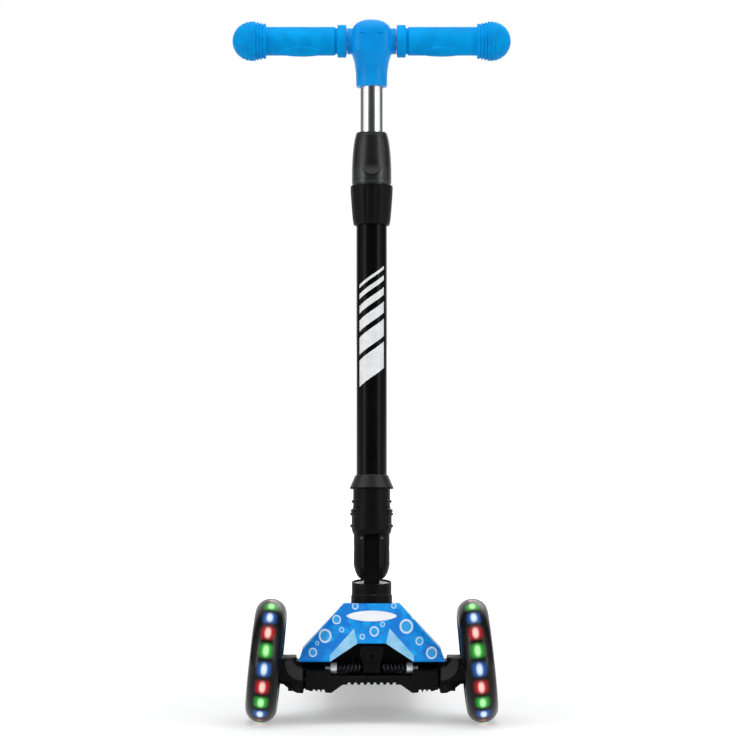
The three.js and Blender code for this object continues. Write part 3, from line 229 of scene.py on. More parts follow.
def block_beside(name, outward, low, high):
    """A block on one side of the middle, whose corners are given for the right."""
    inner, outer = sorted((outward * low[0], outward * high[0]))
    return block(name, (inner, *low[1:]), (outer, *high[1:]))


def bar_along(name, radius, low, high, steps=48):
    """A round bar along Z."""
    return lathe(name, [(0, low), (radius, low), (radius, high), (0, high)], steps)


def moved(piece, place):
    """Moves a piece's mesh itself."""
    piece.data.transform(place)
    return piece


def shift(x=0, y=0, z=0):
    return Matrix.Translation(Vector((x, y, z)) * MM)


def turn(degrees, axis):
    return Matrix.Rotation(math.radians(degrees), 4, axis)


def bar_across(name, radius, half, place=Matrix.Identity(4)):
    """A round bar along X."""
    return moved(bar_along(name, radius, -half, half), place @ turn(90, "Y"))


def scale_about_z(vert, scale):
    vert.co.x *= scale
    vert.co.y *= scale


def combine(piece, *tools, how="DIFFERENCE"):
    """Cuts the tools from a piece, or joins them to it, and deletes them."""
    for tool in tools:
        modifier = piece.modifiers.new("combine", "BOOLEAN")
        modifier.operation = how
        modifier.solver = "EXACT"
        modifier.object = tool
        settle(piece)
        bpy.data.objects.remove(tool)
    return piece


def soften(piece, width, steps=3, over_degrees=30):
    """Rounds a piece's edges."""
    bevel = piece.modifiers.new("soft edges", "BEVEL")
    bevel.width = width * MM
    bevel.segments = steps
    bevel.limit_method = "ANGLE"
    bevel.angle_limit = math.radians(over_degrees)
    bevel.miter_outer = "MITER_ARC"
    settle(piece)
    smooth(piece)
    piece.modifiers.new("flat faces", "WEIGHTED_NORMAL").keep_sharp = True
    return piece


def melt(piece, voxel, passes):
    """Remeshes a piece finely and relaxes it, so that its joined forms flow into each other."""
    remesh = piece.modifiers.new("remesh", "REMESH")
    remesh.mode = "VOXEL"
    remesh.voxel_size = voxel * MM
    relax = piece.modifiers.new("relax", "SMOOTH")
    relax.factor = 0.5
    relax.iterations = passes
    settle(piece)
    return smooth(piece, 60)


def copy_of(node, width, steps=3, over_degrees=30):
    """A CAD node's shape as a new piece, with its flat faces made whole and its edges rounded."""
    made = bmesh.new()
    made.from_mesh(nodes[node].data)
    bmesh.ops.remove_doubles(made, verts=made.verts, dist=WELD * MM)
    straight = math.radians(1)
    bmesh.ops.dissolve_limit(made, angle_limit=straight, verts=made.verts, edges=made.edges)
    made.verts.index_update()
    points = [vert.co / MM for vert in made.verts]
    faces = [[vert.index for vert in face.verts] for face in made.faces]
    made.free()
    return soften(add_mesh(f"{node}_moulding", points, faces), width, steps, over_degrees)


# Shader parts. Sizes in them are in millimetres too: each group counts the object's own coordinates.


def from_bytes(red, green, blue):
    """A colour as it is seen, 0 to 255 a channel, in the form that shaders take."""
    def linear(value):
        value /= 255
        return value / 12.92 if value < 0.04045 else ((value + 0.055) / 1.055) ** 2.4
    return (linear(red), linear(green), linear(blue), 1)


class Sheet:
    """A node tree with short ways to add and join nodes."""

    def __init__(self, tree):
        self.tree = tree

    def node(self, kind, inputs=None, **settings):
        made = self.tree.nodes.new(kind)
        for name, value in settings.items():
            setattr(made, name, value)
        for name, value in (inputs or {}).items():
            self.feed(value, made.inputs[name])
        return made

    def feed(self, value, socket):
        if isinstance(value, bpy.types.NodeSocket):
            self.tree.links.new(value, socket)
        else:
            socket.default_value = value

    def math(self, operation, *values, clamp=False):
        made = self.node("ShaderNodeMath", operation=operation, use_clamp=clamp)
        for value, socket in zip(values, made.inputs):
            self.feed(value, socket)
        return made.outputs[0]

    def remap(self, value, low, high, to_low=0.0, to_high=1.0):
        """A value carried softly from one range to another."""
        made = self.node("ShaderNodeMapRange", {
            "Value": value, "From Min": low, "From Max": high, "To Min": to_low, "To Max": to_high,
        })
        made.interpolation_type = "SMOOTHSTEP"
        return made.outputs["Result"]

    def blend(self, share, first, second):
        made = self.node("ShaderNodeMix", data_type="RGBA")
        self.feed(share, made.inputs["Factor"])
        self.feed(first, made.inputs[6])
        self.feed(second, made.inputs[7])
        return made.outputs[2]

    def noise(self, where, size, detail=3.0, roughness=0.55):
        made = self.node("ShaderNodeTexNoise", {
            "Vector": where, "Scale": 1 / (size * MM), "Detail": detail, "Roughness": roughness,
        })
        return made.outputs["Fac"]

    def split(self, where):
        return self.node("ShaderNodeSeparateXYZ", {"Vector": where}).outputs

    def own_place(self):
        return self.node("ShaderNodeTexCoord").outputs["Object"]


def new_group(name, inputs, outputs):
    """A shader group with named number or colour sockets, and its Sheet, inputs and outputs."""
    tree = bpy.data.node_groups.new(name, "ShaderNodeTree")
    for title, value in inputs.items():
        kind = "NodeSocketColor" if isinstance(value, tuple) else "NodeSocketFloat"
        tree.interface.new_socket(title, in_out="INPUT", socket_type=kind).default_value = value
    for title, kind in outputs.items():
        tree.interface.new_socket(title, in_out="OUTPUT", socket_type=kind)
    sheet = Sheet(tree)
    return sheet, sheet.node("NodeGroupInput").outputs, sheet.node("NodeGroupOutput").inputs


FLOAT = "NodeSocketFloat"


def moulded_grain():
    """Fine spark-erosion grain of a moulding tool, with a slow drift of shade over it."""
    sheet, given, out = new_group(
        "moulded grain", {"Grain size mm": 0.35, "Drift size mm": 28.0}, {"Height": FLOAT, "Drift": FLOAT}
    )
    place = sheet.own_place()
    fine = sheet.node("ShaderNodeTexNoise", {"Vector": place, "Detail": 2.0})
    sheet.feed(sheet.math("DIVIDE", 1 / MM, given["Grain size mm"]), fine.inputs["Scale"])
    slow = sheet.node("ShaderNodeTexNoise", {"Vector": place, "Detail": 3.0})
    sheet.feed(sheet.math("DIVIDE", 1 / MM, given["Drift size mm"]), slow.inputs["Scale"])
    sheet.feed(fine.outputs["Fac"], out["Height"])
    sheet.feed(sheet.remap(slow.outputs["Fac"], 0.32, 0.68), out["Drift"])
    return sheet.tree


def handling_scuffs():
    """Short thin scratches and rubbed patches, as a mask."""
    sheet, given, out = new_group("handling scuffs", {"Amount": 0.5, "Length mm": 9.0}, {"Mask": FLOAT})
    place = sheet.own_place()
    lines = []
    for slant, seed in ((0.5, 3.0), (-0.9, 11.0)):
        tilted = sheet.node("ShaderNodeMapping", {
            "Vector": place, "Rotation": (slant, slant / 2, slant), "Location": (seed, seed, 0),
            "Scale": (1, 1, 0.07),
        })
        scratch = sheet.node("ShaderNodeTexVoronoi", {"Vector": tilted.outputs["Vector"]})
        scratch.feature = "DISTANCE_TO_EDGE"
        sheet.feed(sheet.math("DIVIDE", 1 / MM, given["Length mm"]), scratch.inputs["Scale"])
        lines.append(sheet.remap(scratch.outputs["Distance"], 0.0, 0.018, 1.0, 0.0))
    patches = sheet.remap(sheet.noise(place, 17, 4), 0.52, 0.7)
    both = sheet.math("MULTIPLY", sheet.math("MAXIMUM", *lines), patches)
    sheet.feed(sheet.math("MULTIPLY", both, given["Amount"], clamp=True), out["Mask"])
    return sheet.tree


def rubbed_edges():
    """Where a raised edge is rubbed bright, broken up by noise."""
    sheet, given, out = new_group("rubbed edges", {"Amount": 0.5, "Start": 0.53}, {"Mask": FLOAT})
    bent = sheet.node("ShaderNodeNewGeometry").outputs["Pointiness"]
    broken = sheet.math("MULTIPLY", sheet.noise(sheet.own_place(), 2.2, 4), 0.04)
    start = sheet.math("ADD", given["Start"], broken)
    edge = sheet.math("MULTIPLY", sheet.math("SUBTRACT", bent, start), 14.0, clamp=True)
    sheet.feed(sheet.math("MULTIPLY", edge, given["Amount"]), out["Mask"])
    return sheet.tree


def settled_dust():
    """Thin speckled dust on what faces up."""
    sheet, given, out = new_group("settled dust", {"Amount": 0.2}, {"Mask": FLOAT})
    up = sheet.split(sheet.node("ShaderNodeNewGeometry").outputs["Normal"])["Z"]
    flat = sheet.remap(up, 0.3, 0.95)
    speckle = sheet.remap(sheet.noise(sheet.own_place(), 3.2, 6, 0.7), 0.4, 0.75)
    sheet.feed(sheet.math("MULTIPLY", sheet.math("MULTIPLY", flat, speckle), given["Amount"]), out["Mask"])
    return sheet.tree


GROUPS = {
    "grain": moulded_grain(),
    "scuffs": handling_scuffs(),
    "edges": rubbed_edges(),
    "dust": settled_dust(),
}


class Finish(Sheet):
    """A material on a Principled shader, with the groups at hand."""

    def __init__(self, name, **plain):
        self.material = bpy.data.materials.new(name)
        self.material.use_nodes = True
        super().__init__(self.material.node_tree)
        self.shader = self.tree.nodes["Principled BSDF"]
        for title, value in plain.items():
            self.shader.inputs[title.replace("_", " ")].default_value = value

    def group(self, key, **values):
        made = self.node("ShaderNodeGroup")
        made.node_tree = GROUPS[key]
        for title, value in values.items():
            made.inputs[title.replace("_", " ")].default_value = value
        return made.outputs

    def put(self, title, value):
        self.feed(value, self.shader.inputs[title])

    def bump(self, height, depth_mm):
        made = self.node("ShaderNodeBump", {"Height": height, "Strength": 1.0, "Distance": depth_mm * MM})
        self.put("Normal", made.outputs["Normal"])


def moulded_plastic(name, colour, deep, worn, roughness, grain=0.35, relief=0.03, scuff=0.5, dust=0.15,
                    **plain):
    """Moulded plastic: two near shades, grain, rubbed edges, scuffs and a little dust."""
    made = Finish(name, **plain)
    skin = made.group("grain", Grain_size_mm=grain)
    rubbed = made.group("edges", Amount=0.6)["Mask"]
    scratched = made.group("scuffs", Amount=scuff)["Mask"]
    dusty = made.group("dust", Amount=dust)["Mask"]
    shade = made.blend(skin["Drift"], deep, colour)
    shade = made.blend(made.math("MAXIMUM", rubbed, made.math("MULTIPLY", scratched, 0.5)), shade, worn)
    made.put("Base Color", made.blend(dusty, shade, from_bytes(196, 190, 180)))
    rough = made.math("ADD", made.remap(skin["Drift"], 0.0, 1.0, roughness - 0.04, roughness + 0.04),
                      made.math("MULTIPLY", scratched, 0.2))
    made.put("Roughness", made.math("ADD", rough, made.math("MULTIPLY", dusty, 0.3), clamp=True))
    made.bump(made.math("SUBTRACT", skin["Height"], scratched), relief)
    return made.material


def scaled(colour, share):
    return tuple(share * value for value in colour[:3]) + (1,)


def metal(name, colour, roughness, lengthwise=0.03, edge=1.0):
    """Polished or plated metal with fine polishing lines along Z and small scratches. With an edge under 1
    its colour is painted that much darker in the middle and toward its edges: a painted reflection of a bright
    room."""
    made = Finish(name, Metallic=1.0)
    place = made.own_place()
    lines = made.node("ShaderNodeMapping", {"Vector": place, "Scale": (1, 1, lengthwise)})
    polish = made.noise(lines.outputs["Vector"], 0.25, 3)
    scratched = made.group("scuffs", Amount=0.4, Length_mm=6.0)["Mask"]
    cloud = made.remap(made.noise(place, 12, 3), 0.35, 0.7)
    shade = made.blend(made.math("MULTIPLY", cloud, 0.5), colour, scaled(colour, 0.82))
    # Painted reflection: the colour darkens by the angle it is seen at, in the middle and toward the rims.
    if edge < 1:
        away = made.node("ShaderNodeLayerWeight", {"Blend": 0.5}).outputs["Facing"]
        dark = scaled(colour, edge)
        shade = made.blend(made.remap(away, 0.36, 0.62), shade, dark)
        shade = made.blend(made.remap(away, 0.025, 0.05, 1.0, 0.0), shade, dark)
    made.put("Base Color", shade)
    rough = made.math("ADD", made.remap(polish, 0.3, 0.7, roughness, roughness * 1.7),
                      made.math("MULTIPLY", scratched, 0.22))
    made.put("Roughness", rough)
    made.bump(made.math("SUBTRACT", polish, scratched), 0.004)
    return made.material


BLACK_DEEP, BLACK_WORN = from_bytes(6, 6, 7), from_bytes(36, 37, 39)


def grip_rubber():
    """Soft blue rubber: close fine grain and darker handled patches."""
    made = Finish("soft grip rubber", Specular_IOR_Level=0.05)
    skin = made.group("grain", Grain_size_mm=0.55, Drift_size_mm=16.0)
    rubbed = made.group("edges", Amount=0.45)["Mask"]
    shade = made.blend(skin["Drift"], from_bytes(0, 147, 222), from_bytes(0, 164, 240))
    shade = made.blend(rubbed, shade, from_bytes(30, 180, 246))
    dusty = made.group("dust", Amount=0.012)["Mask"]
    made.put("Base Color", made.blend(dusty, shade, from_bytes(206, 216, 224)))
    made.put("Roughness", made.remap(skin["Drift"], 0.0, 1.0, 0.5, 0.62))
    made.bump(skin["Height"], 0.07)
    return made.material


def lacquered_tube():
    """Glossy black lacquer on steel tube, with faint orange peel and scratches along it."""
    made = Finish("glossy black lacquer", Coat_Weight=0.02, Coat_Roughness=0.08, Specular_IOR_Level=0.06)
    skin = made.group("grain", Grain_size_mm=1.6, Drift_size_mm=60.0)
    scratched = made.group("scuffs", Amount=0.45, Length_mm=22.0)["Mask"]
    shade = made.blend(skin["Drift"], from_bytes(4, 4, 5), from_bytes(8, 8, 9))
    made.put("Base Color", made.blend(scratched, shade, from_bytes(34, 35, 37)))
    made.put("Roughness", made.math("ADD", made.remap(skin["Drift"], 0.0, 1.0, 0.2, 0.27),
                                    made.math("MULTIPLY", scratched, 0.25)))
    made.bump(skin["Height"], 0.012)
    return made.material


def stripe_print():
    """White print on the tube, with tiny pinholes and worn spots."""
    made = Finish("white tube print", Roughness=0.35)
    place = made.own_place()
    worn = made.remap(made.noise(place, 1.4, 6, 0.75), 0.66, 0.74)
    cloud = made.remap(made.noise(place, 9, 3), 0.3, 0.7)
    white = made.blend(cloud, from_bytes(232, 233, 234), from_bytes(244, 245, 246))
    made.put("Base Color", made.blend(made.math("MULTIPLY", worn, 0.6), white, from_bytes(70, 70, 72)))
    made.put("Roughness", made.remap(cloud, 0.0, 1.0, 0.3, 0.42))
    made.bump(worn, -0.02)
    return made.material


def bubble_masks():
    """A round bubble seen from the front: its ring and its inside, as masks."""
    sheet, given, out = new_group(
        "bubble", {"Across mm": 0.0, "Up mm": 0.0, "Radius mm": 4.0}, {"Ring": FLOAT, "Inside": FLOAT}
    )
    at = sheet.split(sheet.own_place())
    across = sheet.math("SUBTRACT", sheet.math("MULTIPLY", at["X"], 1 / MM), given["Across mm"])
    up = sheet.math("SUBTRACT", sheet.math("MULTIPLY", at["Z"], 1 / MM), given["Up mm"])
    away = sheet.math("SQRT", sheet.math("ADD", sheet.math("MULTIPLY", across, across),
                                         sheet.math("MULTIPLY", up, up)))
    share = sheet.math("DIVIDE", away, given["Radius mm"])
    inside = sheet.remap(share, 0.94, 1.04, 1.0, 0.0)
    hollow = sheet.remap(share, 0.66, 0.78)
    sheet.feed(sheet.math("MULTIPLY", inside, hollow), out["Ring"])
    sheet.feed(inside, out["Inside"])
    return sheet.tree


GROUPS["bubble"] = bubble_masks()

# Bubbles printed on the cover: place across, height, radius.
BUBBLES = (
    (-34, 98.5, 4.2), (-45, 84, 6.2), (-56.5, 69.5, 4), (-29, 89.5, 2.4), (33.5, 92.5, 6.6), (46, 79.5, 3.8),
    (57.5, 69, 5.4), (2.5, 88, 4.6), (-9, 83.4, 2.6), (10.5, 94.2, 2.3), (-16, 110.6, 3.2), (21.5, 110.8, 2.5),
    (-52.5, 77.5, 1.9), (41, 100.5, 2.2),
)
# They are printed only in front of this place.
BUBBLES_BACK = -186
# The pale planes beside the cover's arch, as (across, up) of the right one's corners.
FACET = {
    "apex": (17.2, 90.6), "foot": (40, 67.3), "arch_top": (13.6, 77), "end": 40.3, "back": -190, "depth": 1.5,
    "over": 5, "clear": 12,
}


def beside_line(made, across, up, start, end, soft=0.35):
    """1 on the left of a line from start to end, 0 on its right. Places are (across, up) in millimetres."""
    run, rise = end[0] - start[0], end[1] - start[1]
    length = math.hypot(run, rise)
    offset = (rise * start[0] - run * start[1]) / length
    left = made.math("ADD", made.math("MULTIPLY", across, -rise / length),
                     made.math("MULTIPLY", up, run / length))
    return made.remap(made.math("ADD", left, offset), -soft, soft)


def facet_mask(made):
    """The pale planes beside the arch."""
    at = made.split(made.own_place())
    across = made.math("MULTIPLY", made.math("ABSOLUTE", at["X"]), 1 / MM)
    up = made.math("MULTIPLY", at["Z"], 1 / MM)
    apex, foot, arch_top = FACET["apex"], FACET["foot"], FACET["arch_top"]
    below = beside_line(made, across, up, foot, apex)
    outside = beside_line(made, across, up, apex, arch_top)
    inside = beside_line(made, across, up, (FACET["end"], 0), (FACET["end"], 100))
    front = made.math("LESS_THAN", at["Y"], FACET["back"] * MM)
    both = made.math("MULTIPLY", below, outside)
    return made.math("MULTIPLY", made.math("MULTIPLY", both, inside), front)


def printed_shade(made):
    """Soft patches of near blues with small darker strokes, under pale bubbles."""
    place = made.own_place()
    wander = made.noise(place, 19, 2)
    shade = made.blend(made.remap(wander, 0.44, 0.56), from_bytes(0, 124, 218), from_bytes(0, 148, 234))
    patch = made.node("ShaderNodeTexVoronoi", {
        "Vector": place, "Scale": 1 / (15 * MM), "Smoothness": 0.35, "Randomness": 0.9,
    }, feature="SMOOTH_F1")
    spot = made.remap(patch.outputs["Distance"], 0.2, 0.36, 1.0, 0.0)
    shade = made.blend(made.math("MULTIPLY", spot, 0.7), shade, from_bytes(20, 174, 246))
    stroke = made.node("ShaderNodeMapping", {
        "Vector": place, "Rotation": (0, math.radians(25), 0), "Scale": (0.5, 1, 1.5),
    })
    dark = made.remap(made.noise(stroke.outputs["Vector"], 5.5, 2), 0.66, 0.72)
    shade = made.blend(made.math("MULTIPLY", dark, 0.75), shade, from_bytes(0, 84, 184))
    rings, insides = [], []
    for across, up, radius in BUBBLES:
        masks = made.group("bubble", Across_mm=across, Up_mm=up, Radius_mm=radius)
        rings.append(masks["Ring"])
        insides.append(masks["Inside"])
    while len(rings) > 1:
        rings.append(made.math("MAXIMUM", rings.pop(0), rings.pop(0)))
        insides.append(made.math("MAXIMUM", insides.pop(0), insides.pop(0)))
    front = made.math("LESS_THAN", made.split(place)["Y"], BUBBLES_BACK * MM)
    inside, ring = (made.math("MULTIPLY", mask, front) for mask in (insides[0], rings[0]))
    shade = made.blend(made.math("MULTIPLY", inside, 0.45), shade, from_bytes(70, 190, 248))
    return made.blend(made.math("MULTIPLY", ring, 0.9), shade, from_bytes(214, 234, 250))


def cover_print():
    """Glossy film over the nose, pale on the planes beside the arch."""
    made = Finish("glossy blue print", Coat_Weight=0.04, Coat_Roughness=0.12, Specular_IOR_Level=0.06)
    skin = made.group("grain", Grain_size_mm=1.2, Drift_size_mm=14.0)
    pale = made.blend(skin["Drift"], from_bytes(124, 194, 236), from_bytes(158, 212, 244))
    shade = made.blend(facet_mask(made), printed_shade(made), pale)
    scratched = made.group("scuffs", Amount=0.3, Length_mm=7.0)["Mask"]
    rubbed = made.group("edges", Amount=0.5, Start=0.53)["Mask"]
    shade = made.blend(made.math("MAXIMUM", rubbed, made.math("MULTIPLY", scratched, 0.4)), shade,
                       from_bytes(150, 212, 245))
    made.put("Base Color", shade)
    made.put("Roughness", made.math("ADD", made.remap(skin["Drift"], 0.0, 1.0, 0.28, 0.36),
                                    made.math("MULTIPLY", scratched, 0.25)))
    made.bump(skin["Height"], 0.015)
    return made.material


LIGHT_COUNT = 21
LIGHT_PHASE = 1.41
# The lamps' light starts this far from the axle, in metres.
LIGHT_START = 0.0475


def lamp_glow(made, at, out, across):
    """Lamps of green, blue and red in turn round the tread, each white in its middle and soft at its rim."""
    turned = made.math("ARCTAN2", at["Y"], at["X"])
    count = made.math("ADD", made.math("MULTIPLY", turned, LIGHT_COUNT / math.tau), LIGHT_PHASE + LIGHT_COUNT)
    index = made.math("FLOOR", count)
    along = made.math("ABSOLUTE", made.math("SUBTRACT", made.math("FRACT", count), 0.5))
    third = made.math("MODULO", index, 3.0)
    is_second = made.math("COMPARE", third, 1.0, 0.1)
    is_third = made.math("COMPARE", third, 2.0, 0.1)
    glow = made.blend(is_second, from_bytes(52, 196, 60), from_bytes(38, 110, 206))
    glow = made.blend(is_third, glow, from_bytes(214, 24, 34))
    hot = made.blend(is_second, from_bytes(190, 255, 180), from_bytes(226, 244, 255))
    hot = made.blend(is_third, hot, from_bytes(255, 214, 204))
    end = made.math("DIVIDE", along, 0.46)
    side = made.math("DIVIDE", across, 8.0)
    reach = made.math("ADD", made.math("POWER", end, 4.0), made.math("POWER", side, 2.6))
    window = made.remap(made.math("POWER", reach, 0.3), 0.3, 1.1, 1.0, 0.0)
    core_end = made.math("DIVIDE", along, 0.42)
    core_side = made.math("DIVIDE", across, 3.6)
    core_reach = made.math("ADD", made.math("POWER", core_end, 2.0), made.math("POWER", core_side, 2.0))
    core = made.remap(core_reach, 0.05, 1.2, 1.0, 0.0)
    band = made.math("GREATER_THAN", out, LIGHT_START)
    turned_away = made.node("ShaderNodeLayerWeight", {"Blend": 0.5}).outputs["Facing"]
    facing = made.remap(turned_away, 0.5, 0.84, 1.0, 0.0)
    shown = made.math("MULTIPLY", made.math("MULTIPLY", window, band), facing)
    return made.blend(shown, (0, 0, 0, 1), made.blend(core, glow, hot))


def tyre_rubber(lit):
    """Dark clear rubber over rubbed black. A lit one has lamps round its tread."""
    made = Finish("lit tyre rubber" if lit else "tyre rubber", Coat_Weight=0.06, Coat_Roughness=0.08,
                  Specular_IOR_Level=0.14)
    place = made.own_place()
    skin = made.group("grain", Grain_size_mm=0.8, Drift_size_mm=22.0)
    scratched = made.group("scuffs", Amount=0.6, Length_mm=8.0)["Mask"]
    at = made.split(place)
    out = made.math("SQRT", made.math("ADD", made.math("MULTIPLY", at["X"], at["X"]),
                                      made.math("MULTIPLY", at["Y"], at["Y"])))
    across = made.math("MULTIPLY", made.math("ABSOLUTE", at["Z"]), 1 / MM)
    tread = made.remap(across, 2.0, 8.0, 1.0, 0.0)
    rolled = made.math("MULTIPLY", made.remap(made.noise(place, 4, 5, 0.7), 0.42, 0.66), tread)
    shade = made.blend(skin["Drift"], from_bytes(6, 6, 7), from_bytes(11, 11, 12))
    shade = made.blend(made.math("MULTIPLY", rolled, 0.05), shade, from_bytes(110, 106, 100))
    made.put("Base Color", made.blend(made.math("MULTIPLY", scratched, 0.3), shade, from_bytes(80, 80, 82)))
    made.put("Roughness", made.math("ADD", made.remap(skin["Drift"], 0.0, 1.0, 0.2, 0.28),
                                    made.math("MULTIPLY", rolled, 0.15)))
    made.bump(skin["Height"], 0.02)
    if lit:
        made.put("Emission Color", lamp_glow(made, at, out, across))
        made.shader.inputs["Emission Strength"].default_value = 1.0
    return made.material


def lamp_blocks():
    """The clear lamp ring inside a lit tyre."""
    made = Finish("clear lamp ring", Roughness=0.3)
    cloud = made.remap(made.noise(made.own_place(), 6, 3), 0.35, 0.65)
    made.put("Base Color", made.blend(cloud, from_bytes(150, 205, 160), from_bytes(196, 228, 200)))
    made.put("Roughness", made.remap(cloud, 0.0, 1.0, 0.25, 0.4))
    return made.material


def deck_rubber():
    """Footboard rubber: coarse grit between the ribs and scuffed lighter tops."""
    made = Finish("footboard rubber", Specular_IOR_Level=0.3)
    place = made.own_place()
    grit = made.node("ShaderNodeTexVoronoi", {"Vector": place, "Scale": 1 / (1.1 * MM)})
    bumps = made.remap(grit.outputs["Distance"], 0.1, 0.6, 1.0, 0.0)
    rubbed = made.group("edges", Amount=0.7, Start=0.515)["Mask"]
    patches = made.remap(made.noise(place, 24, 5, 0.65), 0.45, 0.7)
    shade = made.blend(patches, from_bytes(25, 26, 28), from_bytes(44, 45, 47))
    shade = made.blend(rubbed, shade, from_bytes(92, 93, 94))
    dusty = made.group("dust", Amount=0.3)["Mask"]
    made.put("Base Color", made.blend(dusty, shade, from_bytes(150, 146, 138)))
    made.put("Roughness", made.remap(patches, 0.0, 1.0, 0.72, 0.88))
    made.bump(bumps, 0.16)
    return made.material


def build_finishes():
    black = {"deep": BLACK_DEEP, "worn": BLACK_WORN}
    return {
        "soft_blue_plastic": moulded_plastic("satin blue plastic", from_bytes(0, 156, 238),
                                             from_bytes(0, 143, 224), from_bytes(30, 178, 246), 0.36,
                                             scuff=0.25, dust=0.012, Specular_IOR_Level=0.12),
        "grip_foam": grip_rubber(),
        "printed_cover": cover_print(),
        "cover_label": moulded_plastic("white label film", from_bytes(238, 241, 245),
                                       from_bytes(226, 231, 238), from_bytes(250, 250, 250), 0.32,
                                       scuff=0.3, dust=0.05, Coat_Weight=0.5, Coat_Roughness=0.1),
        "black_plastic": moulded_plastic("satin black plastic", from_bytes(9, 9, 10), roughness=0.45,
                                         relief=0.03, Specular_IOR_Level=0.08, **black),
        "clamp_plastic": moulded_plastic("smooth black plastic", from_bytes(11, 11, 12), roughness=0.34,
                                         relief=0.02, Specular_IOR_Level=0.42, **black),
        # Pale grey painted light: it stands in for the lit inside of the collar.
        "collar_floor_painted_light": moulded_plastic("grey nylon floor", from_bytes(168, 169, 171), roughness=0.4,
                                        deep=from_bytes(150, 151, 153), worn=from_bytes(190, 191, 193)),
        # Lighter grey is a painted highlight: it stands in for the lit front face of the black knuckle.
        "knuckle_panel_painted_highlight": moulded_plastic("dark grey plastic", from_bytes(52, 52, 53), roughness=0.5,
                                           grain=0.6, relief=0.06, Specular_IOR_Level=0.3,
                                           deep=from_bytes(42, 42, 43), worn=from_bytes(74, 75, 77)),
        "black_moulding": moulded_plastic("grained black plastic", from_bytes(15, 15, 16), roughness=0.48,
                                          grain=0.6, relief=0.08, dust=0.08, Specular_IOR_Level=0.1, **black),
        "black_tube": lacquered_tube(),
        "tube_print": stripe_print(),
        # Its edge of 0.3 paints dark reflection bands into the chrome's colour.
        "bright_tube": metal("polished tube chrome", (0.9, 0.91, 0.92, 1), 0.13, lengthwise=0.02, edge=0.3),
        "crossbar_tube": metal("drawn steel tube", (0.6, 0.61, 0.62, 1), 0.25),
        "steel_fixings": metal("zinc plated steel", (0.62, 0.63, 0.64, 1), 0.24),
        "bright_fixings": metal("bright plated steel", (0.86, 0.87, 0.88, 1), 0.12),
        "satin_cup": metal("satin nickel", (0.92, 0.92, 0.92, 1), 0.42),
        "dim_screw": metal("dull zinc", (0.09, 0.09, 0.095, 1), 0.45),
        "pivot_cap": metal("black phosphate steel", (0.012, 0.012, 0.013, 1), 0.5),
        "dark_spring": metal("black oxide steel", (0.05, 0.05, 0.055, 1), 0.3),
        "tyre_rubber": tyre_rubber(lit=False),
        "lit_tyre": tyre_rubber(lit=True),
        "light_blocks": lamp_blocks(),
        "deck_rubber": deck_rubber(),
        "nylon": moulded_plastic("natural nylon", from_bytes(228, 226, 218), from_bytes(214, 211, 200),
                                 from_bytes(240, 240, 236), 0.45, Subsurface_Weight=0.1),
    }


finishes = build_finishes()
SIDES = (("right", 1), ("left", -1))


def dress(piece, finish, place, stands_for=(), body=None):
    """Sets a piece down in its part's frame, gives it its finish and has it ride with its body."""
    piece.matrix_world = place @ piece.matrix_world
    if not piece.data.materials:
        piece.data.materials.append(finishes[finish])
    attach(piece, body or nodes[stands_for[0]]["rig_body"])
    if stands_for:
        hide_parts(*stands_for)
    return piece


def dress_node(node, finish):
    """A CAD node that stays: only its material changes."""
    for slot in nodes[node].material_slots:
        slot.material = finishes[finish]


# Handlebar. The bar's axis is X, at a height on the column.

BAR_HEIGHT = 502
GRIP = {
    "start": 24.6, "bore": 9.3, "bore_end": 116.3, "neck": 12.8, "ring": 16.2, "ring_start": 24.9,
    "ring_end": 34.1, "radius": 14.2, "shoulder": 36.8, "end": 104.5, "ring_edge": 0.4, "step": 1.4,
}
BALL = {"place": 118.4, "radius": 19.65, "from": 133, "groove_half": 1.3, "flange": 17.2, "flare": 0.22}
# Place along the ball and depth of each groove.
BALL_GROOVES = ((-10.4, 1.3), (-7.2, 1.3), (-4, 1.2), (-0.6, 0.9), (3.4, 0.6), (7.6, 0.45), (11.6, 0.3))
BALL_STEPS = 130
PAD = {"middle": 69, "half_length": 26, "drop": 60, "half_width": 7.6, "rise": 1.5, "slope": 1.1, "from": 13}
# Lays a mesh made along Z along X, with its Y kept.
LAY_ALONG_BAR = Matrix(((0, 0, 1, 0), (0, 1, 0, 0), (1, 0, 0, 0), (0, 0, 0, 1)))


def ball_profile():
    """The grip's ball end from its flat flange to its tip, with rounded grooves round it."""
    start = BALL["radius"] * math.cos(math.radians(BALL["from"]))
    points = []
    for i in range(BALL_STEPS + 1):
        angle = math.radians(BALL["from"] * (1 - i / BALL_STEPS))
        along, radius = BALL["radius"] * math.cos(angle), BALL["radius"] * math.sin(angle)
        if along < 0:
            radius = max(radius, BALL["flange"] + BALL["flare"] * (along - start))
        sunk = 0
        for place, depth in BALL_GROOVES:
            near = abs(along - place) / BALL["groove_half"]
            if near < 1:
                sunk = depth * (1 - near**2) ** 2
        points.append((radius - sunk, BALL["place"] + along))
    points[-1] = (0, BALL["place"] + BALL["radius"])
    return points


def grip_profile():
    g = GRIP
    body = rounded([
        (g["bore"], g["start"]), (g["neck"], g["start"]), (g["neck"], g["ring_start"]),
        (g["ring"], g["ring_start"] + g["ring_edge"]), (g["ring"], g["ring_end"] - g["ring_edge"]),
        (g["neck"], g["ring_end"]), (g["neck"], g["ring_end"] + g["step"]),
        (g["radius"], g["shoulder"]), (g["radius"], g["end"]), ball_profile()[0],
    ], 0.8, 5, closed=False)
    return body + ball_profile()[1:] + [(0, g["bore_end"]), (g["bore"], g["bore_end"])]


